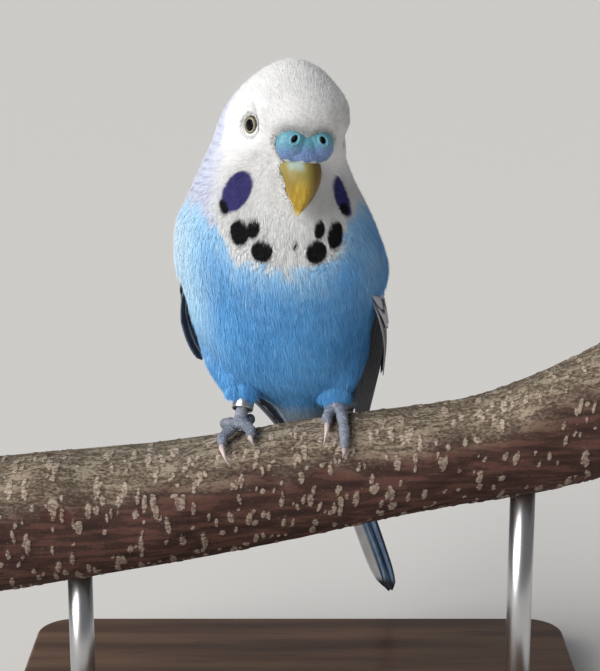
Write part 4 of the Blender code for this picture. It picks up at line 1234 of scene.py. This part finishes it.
def make_wing(side, flights, coverts):
    sheet = wing_sheet(side)
    rng = np.random.default_rng(3)
    stray = (0.006, 0.006)
    shape = new_feathers()
    # Primaries, longest lowest, then secondaries above them
    for t in spread(0, 1, 9):
        tip = (0.995 - 0.27 * t**1.7 + rng.normal(0, 0.004), 0.30 + 0.50 * t)
        feather = ((0.30, 0.14 + 0.40 * t), tip, 2.5, (-0.9, -1.1 + 1.0 * t))
        add_vane(shape, sheet, feather, rng, round_off=0.2, bow=0.15)
    roots, tips = ((0.2, 0.16), (0.2, 0.78)), ((0.60, 0.06), (0.73, 0.88))
    widths, lifts = (2.6, 2.8), ((-0.8, -0.2), (-0.8, 0.45))
    for feather in tier(11, roots, tips, widths, lifts, rng, stray):
        add_vane(shape, sheet, feather, rng, round_off=0.3, bow=0.2)
    wing_piece("flights", shape, side, flights)

    shape = new_feathers()
    # Tiers of coverts: how many, share of the length at their roots, lowest and highest place across,
    # shares of the length at their first and last tip, half width, and lift at root and tip
    rows = (
        (10, 0.14, (0.14, 0.80), (0.44, 0.52), 2.7, 0.2, 0.55),
        (11, 0.09, (0.12, 0.82), (0.36, 0.40), 2.5, 0.4, 0.75),
        (12, 0.05, (0.12, 0.80), (0.29, 0.31), 2.2, 0.6, 0.95),
        (11, 0.02, (0.12, 0.74), (0.23, 0.235), 2.0, 0.75, 1.1),
        (10, 0.0, (0.14, 0.64), (0.165, 0.165), 1.8, 0.5, 1.25),
        (7, 0.0, (0.16, 0.48), (0.10, 0.10), 1.6, 0.1, 1.35),
    )
    for count, root, (low, high), (first, last), half_width, root_lift, tip_lift in rows:
        lifts = ((root_lift - 0.6, tip_lift - 0.5), (root_lift - 0.3, tip_lift + 0.2))
        tips = ((first, low - 0.02), (last, high + 0.10))
        widths = (half_width, half_width)
        for feather in tier(count, ((root, low), (root, high)), tips, widths, lifts, rng, stray):
            add_vane(shape, sheet, feather, rng, round_off=0.55, bow=0.3)
    wing_piece("coverts", shape, side, coverts)


def make_mantle(flesh, finish):
    """Barred feathers of the back between the wings, over the flesh's surface."""
    ahead = BIRD.to_3x3() @ Vector((0, -1, 0))
    heights, lefts, _ = np.array(BODY_LINE).T

    def place(u, v):
        height = MANTLE_TOP + (MANTLE_END - MANTLE_TOP) * u
        aside = v * (1 - 0.4 * u) + float(np.interp(height, heights, lefts))
        hit = flesh.ray_cast(BIRD @ bird_point(-80, aside, height), ahead)[0]
        return BIRD.inverted() @ hit

    sheet = Sheet(place, 1.0, -MANTLE_HALF, MANTLE_HALF, (0, 1, 0.3))
    rng = np.random.default_rng(6)
    shape = new_feathers()
    for row in range(MANTLE_TIERS):
        back = row / (MANTLE_TIERS - 1)
        tip = 0.97 - 0.85 * back
        count, half_width = 8 + 2 * row, 2.7 - 1.2 * back
        reach = MANTLE_HALF - 2.5
        widths, lifts = (half_width, half_width), ((-1.2, 0.6), (-1.2, 0.6))
        tips = ((tip, -reach), (tip, reach))
        roots = ((tip - 0.3, -reach), (tip - 0.3, reach))
        for feather in tier(count, roots, tips, widths, lifts, rng, (0.01, 0.3)):
            add_vane(shape, sheet, feather, rng, round_off=0.55, bow=0.25)
    finished("mantle_feathers", shape, finish, "wing_feather")


def make_tail(finish):
    sheet, length = tail_sheet()
    rng = np.random.default_rng(5)
    shape = new_feathers()
    for share, apart, half_width, lift in TAIL_PAIRS:
        for sign in (1, -1):
            tip = (share * length + rng.normal(0, 0.4), sign * apart)
            root = (-2, sign * (1.0 + 0.5 * apart))
            lifts = (0.7 * lift, lift + 0.12 * sign)
            feather = (root, tip, half_width, lifts)
            shade = 0.5 if share == 1 else 0.5 + 0.5 * sign
            add_vane(shape, sheet, feather, rng, 0.2, root_width=0.6, round_off=0.2, bow=0.25, shade=shade)
    finished("tail_feathers", shape, finish, "tail_feather", "tail")


def vane_finish(name, roughness):
    """A feather's finish, with the share across its vane, out from its shaft and along it.

    Its surface has fine barbs that slant from the shaft to the edge, and the shaft itself.
    """
    finish = Finish(name, roughness=roughness)
    across, share = finish.across_and_along("vane")
    out = abs(across * 2 - 1)
    lines = ((share - out * 0.12) * 420).sine()
    shaft = out.between(0.0, 0.12)
    finish.bump(lines * 0.25 - shaft * 0.6, 0.12 * MM)
    return finish, across, out, share


def flight_finish():
    finish, across, _, _ = vane_finish("flight_feather", 0.5)
    patchy = finish.attribute("tone") * 0.6 + finish.noise(2.5 * MM) * 0.4
    dark = finish.mix((0.024, 0.026, 0.034), (0.10, 0.11, 0.14), patchy.between(0.2, 0.9))
    inner = across.between(0.50, 0.62) * (1 - across.between(0.86, 0.94))
    dark = finish.mix(dark, (0.15, 0.17, 0.22), inner * 0.8)
    rim = (1 - across).between(0.80, 0.94)
    finish.paint(base_color=finish.mix(dark, (0.60, 0.62, 0.68), rim * 0.9))
    return finish


def covert_finish():
    finish, _, out, share = vane_finish("covert_feather", 0.6)
    rim = out * out * 0.55 + share.between(0.6, 1.0) * 0.9 + finish.noise(1.2 * MM) * 0.3
    pale = finish.mix((0.62, 0.64, 0.72), (0.80, 0.80, 0.80), finish.attribute("tone"))
    finish.paint(base_color=finish.mix((0.02, 0.02, 0.024), pale, rim.between(0.6, 0.86)))
    return finish


def tail_finish():
    """Deep blue middle pair; the others are pale on the bird's right and mid blue on its left."""
    finish, across, _, share = vane_finish("tail_feather", 0.5)
    tone = finish.attribute("tone")
    navy = (0.014, 0.018, 0.075)
    cloud = finish.noise(2.5 * MM, 3, (1, 0.3, 0.3))
    blue = finish.mix((0.18, 0.32, 0.54), (0.34, 0.53, 0.76), cloud.between(0.3, 0.7))
    pale = finish.mix((0.80, 0.82, 0.86), (0.93, 0.94, 0.95), cloud.between(0.3, 0.7))
    pale = finish.mix(pale, navy, across.between(0.54, 0.62))
    pale = finish.mix(pale, blue, across.between(0.70, 0.78))
    middle = finish.mix((0.012, 0.03, 0.12), (0.03, 0.09, 0.26), cloud)
    colour = finish.mix(pale, middle, tone.between(0.2, 0.4))
    edged = finish.mix(blue, navy, across.between(0.78, 0.88))
    colour = finish.mix(colour, edged, tone.between(0.6, 0.8))
    finish.paint(base_color=finish.mix(colour, (0.012, 0.014, 0.03), share.between(0.93, 0.98)))
    return finish


flights, coverts = flight_finish(), covert_finish()
for side in ("left", "right"):
    make_wing(side, flights, coverts)
make_mantle(flesh_surface, coverts)
make_tail(tail_finish())


# Eyes, cere and bill

def make_eyes():
    glass = Finish("eye", roughness=0.08, specular_ior_level=0.12)
    out, _ = glass.across_and_along("eye_angle")
    # Pupil, pale iris and dark rim, by distance from the axis as a share of the lids' opening
    stops = (
        (0.0, (0.004, 0.003, 0.003)),
        (0.84, (0.006, 0.005, 0.005)),
        (0.87, (0.52, 0.48, 0.40)),
        (0.94, (0.76, 0.73, 0.64)),
        (0.97, (0.30, 0.27, 0.20)),
        (1.0, (0.03, 0.025, 0.02)),
    )
    glass.paint(base_color=glass.add("ShaderNodeValToRGB", {"stops": stops}, {0: out}))
    lid_skin = Finish("eyelid", roughness=0.6)
    grain = lid_skin.noise(0.35 * MM).between(0.35, 0.65)
    lid_skin.paint(base_color=lid_skin.mix((0.09, 0.08, 0.05), (0.27, 0.245, 0.15), grain))
    for side in ("left", "right"):
        place = eye_place(side)
        shape = bmesh.new()
        bmesh.ops.create_uvsphere(shape, u_segments=64, v_segments=64, radius=EYE_RADIUS)
        map_by(shape, "eye_angle", lambda co: (co.xy.length / LID_RADIUS if co.z > 0 else 2, 0.5))
        bmesh.ops.transform(shape, matrix=place, verts=shape.verts)
        finished(f"eyeball_{side}", shape, glass, "eye", f"eye_{side}")
        shape = bmesh.new()
        spun(shape, LID_RADIUS + 0.10 * MM, LID_HEIGHT + 0.02 * MM, 0.20 * MM, 0.22 * MM)
        bmesh.ops.transform(shape, matrix=place, verts=shape.verts)
        finished(f"eyelid_{side}", shape, lid_skin, "eye")


def spun(shape, radius, height, half_width, half_height, power=1.0, sides=12, steps=72):
    """A ring round z whose section is an oval, or squarer with a power below 1."""
    profile = []
    for k in range(sides):
        angle = math.tau * k / sides
        x = math.copysign(abs(math.cos(angle)) ** power, math.cos(angle)) * half_width
        z = math.copysign(abs(math.sin(angle)) ** power, math.sin(angle)) * half_height
        profile.append(shape.verts.new((radius + x, 0, height + z)))
    geom = profile + [shape.edges.new((profile[k], profile[(k + 1) % sides])) for k in range(sides)]
    bmesh.ops.spin(
        shape, geom=geom, axis=(0, 0, 1), cent=(0, 0, 0), angle=math.tau, steps=steps, use_merge=True
    )
    bmesh.ops.remove_doubles(shape, verts=shape.verts, dist=MERGE)
    bmesh.ops.recalc_face_normals(shape, faces=shape.faces)


def make_cere():
    shape = bmesh.new()
    for (side, forward, up), sizes in CERE_PADS:
        add_oval(shape, 40, 24, sizes, Vector((side, -forward, up)) * MM)
    shape = remeshed(shape, CERE_VOXEL, 5)
    hole = shape.verts.layers.float.new("nostril")
    rim = shape.verts.layers.float.new("rim")
    aside, level, wide, high = NOSTRIL
    for vert in shape.verts:
        x, y, z = vert.co / MM
        out = math.hypot((abs(x) - aside + 0.3 * (z - level)) / wide, (z - level) / high)
        if y < -11:
            vert.co.y += 1.5 * MM * float(1 - ease(0.5, 1.05, out))
            vert.co.y -= 0.16 * MM * math.exp(-(((out - 1.35) / 0.35) ** 2))
        vert[hole] = float(1 - ease(0.75, 1.0, out)) if y < -10 else 0
        vert[hole] -= 0.6 * math.exp(-(((out - 1.35) / 0.3) ** 2))
        vert[rim] = float(ease(-3.35, -3.8, z + 0.25 * math.cos(2.2 * x)))
    shape.transform(HEAD)
    shape.normal_update()
    finish = Finish("cere", roughness=0.42, coat_weight=0.12)
    grain = finish.noise(0.6 * MM)
    height = finish.add("ShaderNodeSeparateXYZ", None, {0: finish.place()}, output=2)
    top = (height - float(middle_of("cere")[2])).between(-1.2 * MM, 2.0 * MM)
    colour = finish.mix((0.145, 0.235, 0.48), (0.11, 0.35, 0.43), top)
    colour = finish.mix(colour, (0.08, 0.18, 0.38), grain.between(0.45, 0.7) * 0.6)
    veins = finish.cell_edges(1.1 * MM)
    pale = (1 - veins.between(0.01, 0.05)) * (1 - top) * 0.35
    colour = finish.mix(colour, (0.50, 0.60, 0.74), pale)
    colour = finish.mix(colour, (0.72, 0.75, 0.78), finish.attribute("rim"))
    nostril = finish.attribute("nostril")
    colour = finish.mix(colour, (0.26, 0.60, 0.64), (0 - nostril).between(0.1, 0.6) * 0.35)
    # The nostrils' holes are painted near black: painted shade inside them
    finish.paint(base_color=finish.mix(colour, (0.008, 0.008, 0.01), nostril.between(0.1, 0.7)))
    finish.bump(grain + veins.between(0.0, 0.1) * 0.4, 0.12 * MM)
    finished("cere_skin", shape, finish, "cere", "cere")


def make_bill():
    finish = Finish("beak", roughness=0.42, specular_ior_level=0.28)
    across, share = finish.across_and_along("bill")
    streak = finish.noise(0.7 * MM, 3, (1, 1, 0.22))
    gold = finish.mix((0.52, 0.355, 0.048), (0.39, 0.25, 0.028), streak.between(0.35, 0.65))
    colour = finish.mix(gold, (0.26, 0.225, 0.065), (1 - share.between(0.28, 0.6)) * 0.85)
    patch = (1 - share.between(0.15, 0.29)) * across.between(-0.05, 0.10)
    patch = patch * (1 - across.between(0.32, 0.48))
    colour = finish.mix(colour, (0.36, 0.46, 0.40), patch * 0.9)
    colour = finish.mix(colour, (0.72, 0.60, 0.28), share.between(0.90, 0.98) * 0.6)
    # The bird's left side of the bill darker brown: partly its colour, partly painted shade on the side
    # away from the light
    colour = finish.mix(colour, (0.15, 0.09, 0.015), across.between(0.50, 0.78) * 0.88)
    # Dark margin of the bill on the bird's right: partly its dark olive colour, partly painted shadow of
    # the feathers beside it
    edge = (1 - across.between(0.08, 0.24)) * share.between(0.2, 0.4)
    colour = finish.mix(colour, (0.22, 0.15, 0.03), edge * 0.6)
    finish.paint(base_color=colour)
    finish.bump(streak, 0.08 * MM)
    for name, rows in (("beak_upper", BILL_ROWS), ("beak_lower", LOWER_BILL_ROWS)):
        shape = bmesh.new()
        keyed = [(key, *row) for key, row in zip(spread(0, 1, len(rows)), rows)]

        def place(angle, share, reach):
            forward, up, half_width, half_depth = smooth_row(keyed, share)
            near = [smooth_row(keyed, min(1, max(0, share + step)))[:2] for step in (-0.02, 0.02)]
            ahead = Vector((0, near[0][0] - near[1][0], near[1][1] - near[0][1])).normalized()
            over = Vector((1, 0, 0)).cross(ahead)
            ridge = 0.35 * math.exp(-(((angle + math.pi / 2) / 0.35) ** 2)) * min(1, 2.5 * share)
            depth = half_depth * math.sin(angle) - ridge
            point = Vector((half_width * math.cos(angle), 0, 0)) + over * depth
            point = Vector((-BILL_LEAN * share, -forward, up)) + point * reach
            return HEAD @ (point * MM)

        def measure(co):
            local = HEAD.inverted() @ co / MM
            drop = (BILL_TOP - local.z) / (BILL_TOP - rows[-1][1])
            return 0.5 + local.x / 8, min(1, max(0, drop))

        sleeve(shape, 48, 48, place)
        map_by(shape, "bill", measure)
        finished(f"{name}_horn", shape, finish, "beak", name)


make_eyes()
make_cere()
make_bill()


# Perch and feet

def perch_row(x):
    height, radius = smooth_row(PERCH_ROWS, x / MM)
    return height * MM, radius * MM


def perch_point(x, angle, out=0.0):
    """A point over the bark: angle in degrees from the top towards the front, out in metres."""
    height, radius = perch_row(x)
    turn = math.radians(angle)
    reach = radius + out
    return Vector((x, PERCH_Y - reach * math.sin(turn), height + reach * math.cos(turn)))


def bark_height(x, angle):
    """How far the bark stands proud of the plain round, as in the solids."""
    rise = 0.35 * math.sin(3 * math.radians(angle) + x / (11 * MM)) - 0.35
    for knot_x, knot_angle, size, height in PERCH_KNOTS:
        along = (x / MM - knot_x) / size
        around = math.radians(angle - knot_angle) * KNOT_ROUND / size
        rise += height * math.exp(-(along**2) - around**2)
    return rise * MM


def lenticels(x, around):
    """Height from 0 to 1 of the pale corky marks at places along and round the bark, in millimetres."""
    rng = np.random.default_rng(21)
    height = np.zeros(len(x))
    for _ in range(LENTICELS):
        along = rng.uniform(-PERCH_HALF, PERCH_HALF)
        middle = rng.uniform(-PERCH_HALF_GIRTH, PERCH_HALF_GIRTH)
        half_width = rng.uniform(0.32, 0.95)
        half_height = half_width * rng.uniform(1.0, 3.4)
        lean = rng.normal(0, 0.12)
        near = np.abs(x - along) < 3
        a = (x[near] - along - lean * (around[near] - middle)) / half_width
        b = (around[near] - middle) / half_height
        height[near] = np.maximum(height[near], 1 - a * a - b * b)
    return height


def make_perch():
    first, last = PERCH_ROWS[0][0] * MM, PERCH_ROWS[-1][0] * MM
    shape = bmesh.new()
    inset = 0.1 * MM

    def place(angle, share, reach):
        degrees = math.degrees(angle)
        x = first + inset + (last - first - 2 * inset) * share
        return perch_point(x, degrees, bark_height(x, degrees) if reach > 0.5 else -perch_row(x)[1])

    sleeve(shape, 224, 460, place)
    shape.normal_update()
    points = places_of(shape.verts)
    rows = np.array([perch_row(x) for x in points[:, 0]])
    angle = np.arctan2(PERCH_Y - points[:, 1], points[:, 2] - rows[:, 0])
    marks = lenticels(points[:, 0] / MM, angle * MARK_ROUND)
    stretched = points * np.array((0.2, 1, 1))
    ridges = ripple(stretched, 1.1 * MM, 31) * 0.5 + ripple(stretched, 2.6 * MM, 32) * 0.5
    rise = 0.16 * np.clip(marks, 0, 0.5) * 2 + 0.10 * ridges - 0.1
    rise *= ease(0, 1.5, PERCH_HALF - np.abs(points[:, 0]) / MM)
    layer = shape.verts.layers.float.new("marks")
    upper = shape.verts.layers.float.new("upper")
    for vert, height, mark, turn in zip(shape.verts, rise.tolist(), marks.tolist(), angle.tolist()):
        vert.co += vert.normal * height * MM
        vert[layer] = mark
        vert[upper] = math.cos(turn + 0.15)
    finish = Finish("bark", roughness=0.85, specular_ior_level=0.3)
    streak = finish.noise(1.6 * MM, 4, (0.15, 1, 1))
    fine = finish.noise(0.55 * MM, 3, (0.6, 1, 1))
    cloud = finish.noise(9 * MM, 3)
    red = finish.mix((0.026, 0.011, 0.008), (0.088, 0.038, 0.028), streak.between(0.32, 0.66))
    mottled = (streak * 0.4 + fine * 0.6).between(0.38, 0.62)
    grey = finish.mix((0.10, 0.072, 0.048), (0.34, 0.28, 0.205), mottled)
    top = (finish.attribute("upper") + cloud * 0.7 - 0.22).between(0.2, 0.95)
    base = finish.mix(red, grey, top)
    crack = streak.between(0.46, 0.50) * (1 - streak.between(0.50, 0.54))
    base = finish.mix(base, (0.022, 0.012, 0.009), crack * 0.6)
    torn = finish.attribute("marks") + (fine - 0.5) * 1.2 - 0.1
    inner = finish.mix((0.20, 0.145, 0.11), (0.47, 0.39, 0.315), fine.between(0.38, 0.62))
    corky = torn.between(0.08, 0.36)
    scar = finish.noise(14 * MM, 1).between(0.72, 0.76)
    base = finish.mix(base, (0.07, 0.022, 0.016), scar * 0.8)
    finish.paint(base_color=finish.mix(base, inner, corky * (0.55 + 0.45 * top)))
    finish.bump(streak * 0.7 + fine * 0.6 + corky * 0.4, 0.3 * MM)
    finished("perch_bark", shape, finish, "bark", "perch")
    make_perch_ends(first, last)


def make_perch_ends(first, last):
    """The sawn ends, each a thin disc set into the bark."""
    sawn = Finish("sawn_end", roughness=0.75)
    out, _ = sawn.across_and_along("rings")
    wobble = sawn.noise(6 * MM, 2) * 0.12
    rings = ((out + wobble) * 60).sine()
    pale = sawn.mix((0.42, 0.29, 0.17), (0.55, 0.41, 0.26), rings.between(-1.0, 1.0))
    sawn.paint(base_color=sawn.mix(pale, (0.20, 0.11, 0.07), out.between(0.93, 0.97)))
    sawn.bump(sawn.noise(0.5 * MM), 0.1 * MM)
    for side, start, end in (("right", first, first + 0.4 * MM), ("left", last - 0.4 * MM, last)):
        shape = bmesh.new()

        def disc(angle, share, reach):
            degrees = math.degrees(angle)
            x = start + (end - start) * share
            sunk = bark_height(start, degrees) - 0.8 * MM
            return perch_point(x, degrees, sunk if reach > 0.5 else -perch_row(x)[1])

        def measure(co):
            height, radius = perch_row(co.x)
            return math.hypot(co.y - PERCH_Y, co.z - height) / radius, 0.5

        sleeve(shape, 96, 3, disc)
        map_by(shape, "rings", measure)
        finished(f"perch_end_{side}", shape, sawn, "bark", smooth=False)


make_perch()


def shank_ends(side):
    top = SHANK_TOP[side]
    upper = Vector((top[0], PERCH_Y / MM + top[1], PERCH_TOP / MM + top[2])) * MM
    return upper, perch_point(FOOT_X[side] * MM, FOOT_ANGLE[side], 0.6 * MM + TOE_RADIUS * 1.3)


def toe_points(side, name):
    """Points down the middle of a toe, from the sole to its end."""
    start, end, tip_angle, _, _ = TOES[side][name]
    points = []
    for t in spread(0, 1, 12):
        x = (FOOT_X[side] + start + (end - start) * min(1, 1.6 * t)) * MM
        angle = FOOT_ANGLE[side] + (tip_angle - FOOT_ANGLE[side]) * t
        points.append(perch_point(x, angle, 0.35 * MM + TOE_RADIUS * (1.08 - 0.2 * t)))
    return points


def claw_points(side, name):
    _, end, tip_angle, turn, claw_angle = TOES[side][name]
    points = []
    first = tip_angle + math.copysign(0.6, tip_angle)
    for t in spread(0, 1, 8):
        angle = first + (claw_angle - first) * t
        out = CLAW_RADIUS + (1.05 * math.sin(math.pi * min(1, t * 1.1)) + 0.5) * MM
        points.append(perch_point((FOOT_X[side] + end + turn * t * t) * MM, angle, out))
    return points


def scutes(count, height):
    """Overlapping transverse scales: each swells slowly and ends in a step."""

    def swell(angle, share):
        step = (share * count + 0.12 * math.cos(angle * 2)) % 1
        return height * (step**0.7 - 0.5) * (1 - max(0.0, step - 0.85) / 0.15)

    return swell


def make_feet():
    skin = Finish("foot_skin", roughness=0.55)
    scales = skin.cell_edges(0.62 * MM)
    cloud = skin.noise(2 * MM)
    colour = skin.mix((0.13, 0.15, 0.21), (0.24, 0.27, 0.34), cloud.between(0.35, 0.65))
    colour = skin.mix((0.50, 0.52, 0.56), colour, scales.between(0.02, 0.12) * 0.7 + 0.3)
    skin.paint(base_color=colour)
    skin.bump(scales.between(0.0, 0.12), 0.12 * MM)
    nail = Finish("claw", roughness=0.35, coat_weight=0.2)
    share = nail.attribute("share")
    nail.paint(base_color=nail.mix((0.70, 0.56, 0.52), (0.36, 0.31, 0.31), share.between(0.45, 0.95)))
    for side in ("left", "right"):
        upper, lower = shank_ends(side)
        shape = bmesh.new()
        points = [upper.lerp(lower, t) for t in spread(-0.25, 1, 8)]
        radii = [SHANK_RADIUS * (0.98 + 0.2 * t**3) for t in spread(0, 1, 8)]
        sleeve(shape, 40, 90, along_line(points, radii, scutes(7, 0.16 * MM)))
        add_oval(shape, 32, 20, SOLE_SIZE, lower - Vector((0, 0, 0.2 * MM)))
        for name in TOES[side]:
            points = toe_points(side, name)
            radii = []
            for t in spread(0, 1, len(points)):
                pads = 0.06 * math.cos(t * 6 * math.pi)
                radii.append(TOE_RADIUS * (1.03 - 0.2 * t + pads) * math.sqrt(min(1, (1.02 - t) / 0.12)))
            sleeve(shape, 36, 80, along_line(points, radii, scutes(6, 0.2 * MM)))
        shape = remeshed(shape, FOOT_VOXEL, 2)
        finished(f"foot_{side}_skin", shape, skin, "foot_skin", f"foot_{side}")
        for name in TOES[side]:
            points = claw_points(side, name)
            radii = [CLAW_RADIUS * (1 - 0.86 * t**1.3) for t in spread(0, 1, len(points))]
            shape = bmesh.new()
            layer = shape.verts.layers.float.new("share")
            sleeve(shape, 24, 32, along_line(points, radii))
            length = (points[-1] - points[0]).length
            for vert in shape.verts:
                vert[layer] = (vert.co - points[0]).length / length
            finished(f"claw_{side}_{name}_horn", shape, nail, "claw", f"claw_{side}_{name}")


def make_ring():
    """The closed metal band, loose on the bird's right shank."""
    upper, lower = shank_ends("right")
    along = (lower - upper).normalized()
    shape = bmesh.new()
    spun(shape, RING_INNER + RING_WALL / 2, 0, RING_WALL / 2, RING_HEIGHT / 2, 0.3, 20, 96)
    turn = along.to_track_quat("Z", "X").to_matrix().to_4x4()
    place = Matrix.Translation(upper.lerp(lower, RING_ALONG)) @ turn
    bmesh.ops.transform(shape, matrix=place, verts=shape.verts)
    finish = Finish("band_metal", metallic=1.0, roughness=0.3)
    wear = finish.noise(0.8 * MM)
    finish.paint(base_color=finish.mix((0.62, 0.62, 0.61), (0.82, 0.82, 0.80), wear))
    finished("leg_ring_band", shape, finish, "band_metal", "leg_ring")


def make_stand():
    shape = bmesh.new()
    bmesh.ops.create_cube(shape, size=1)
    bmesh.ops.scale(shape, vec=BASE_SIZE, verts=shape.verts)
    bmesh.ops.translate(shape, vec=(0, 0, BASE_SIZE[2] / 2), verts=shape.verts)
    corners = [e for e in shape.edges if abs(e.verts[0].co.z - e.verts[1].co.z) > BASE_SIZE[2] / 2]
    rounding = {"profile": 0.5, "affect": "EDGES", "material": -1}
    bmesh.ops.bevel(shape, geom=corners, offset=BASE_CORNER, segments=16, **rounding)
    rim = [e for e in shape.edges if min(v.co.z for v in e.verts) > BASE_SIZE[2] - 1e-6]
    bmesh.ops.bevel(shape, geom=rim, offset=BASE_RIM, segments=6, **rounding)
    wood = Finish("stained_wood", roughness=0.42, coat_weight=0.15)
    grain = wood.noise(7 * MM, 4, (0.08, 1, 1))
    pores = wood.noise(0.9 * MM, 2, (0.05, 1, 1))
    colour = wood.mix((0.075, 0.038, 0.022), (0.17, 0.095, 0.055), grain.between(0.3, 0.7))
    wood.paint(base_color=wood.mix(colour, (0.03, 0.016, 0.01), pores.between(0.6, 0.75) * 0.7))
    wood.bump(grain + pores, 0.05 * MM)
    finished("stand_base_wood", shape, wood, "stained_wood", "stand_base")
    steel = Finish("steel", metallic=1.0, roughness=0.3, base_color=(0.56, 0.56, 0.57))
    steel.bump(steel.noise(0.4 * MM, 2, (1, 1, 0.02)), 0.01 * MM)
    for side in ("left", "right"):
        low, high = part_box(f"stand_rod_{side}")
        radius = (high.x - low.x) / 2
        shape = bmesh.new()
        bmesh.ops.create_cone(
            shape, cap_ends=True, segments=64, radius1=radius, radius2=radius, depth=high.z - low.z
        )
        bmesh.ops.translate(shape, vec=(low + high) / 2, verts=shape.verts)
        piece = finished(f"stand_rod_{side}_steel", shape, steel, "steel", f"stand_rod_{side}")
        for polygon in piece.data.polygons:
            polygon.use_smooth = len(polygon.vertices) == 4


make_feet()
make_ring()
make_stand()


# Light, floor and view

def make_stage():
    shape = bmesh.new()
    bmesh.ops.create_grid(shape, x_segments=1, y_segments=1, size=6)
    bmesh.ops.translate(shape, vec=(0, 3, 0), verts=shape.verts)
    floor = linked("floor", mesh_of("floor", shape))
    finish = Finish("pale_floor", roughness=0.9, base_color=(0.87, 0.855, 0.83))
    floor.data.materials.append(finish.material)


def make_light():
    data = bpy.data.lights.new("window", "SUN")
    data.energy = SUN_STRENGTH
    data.angle = SUN_SPREAD
    data.color = SUN_COLOUR
    linked("window", data).rotation_euler = Vector(SUN_FROM).to_track_quat("Z", "Y").to_euler()
    world = bpy.data.worlds.new("soft_white")
    world.use_nodes = True
    background = world.node_tree.nodes["Background"]
    background.inputs["Color"].default_value = ROOM_COLOUR
    background.inputs["Strength"].default_value = ROOM_STRENGTH
    bpy.context.scene.world = world


def make_view():
    data = bpy.data.cameras.new("view")
    data.lens = VIEW_LENS
    data.clip_start = 0.01
    data.clip_end = 50
    camera = linked("view", data)
    camera.location, _ = through_pixel(*PICTURE_MIDDLE)
    camera.rotation_euler = (math.pi / 2 - VIEW_RISE, 0, 0)
    bpy.context.scene.camera = camera
    bpy.context.scene.view_settings.view_transform = "Standard"


make_stage()
make_light()
make_view()
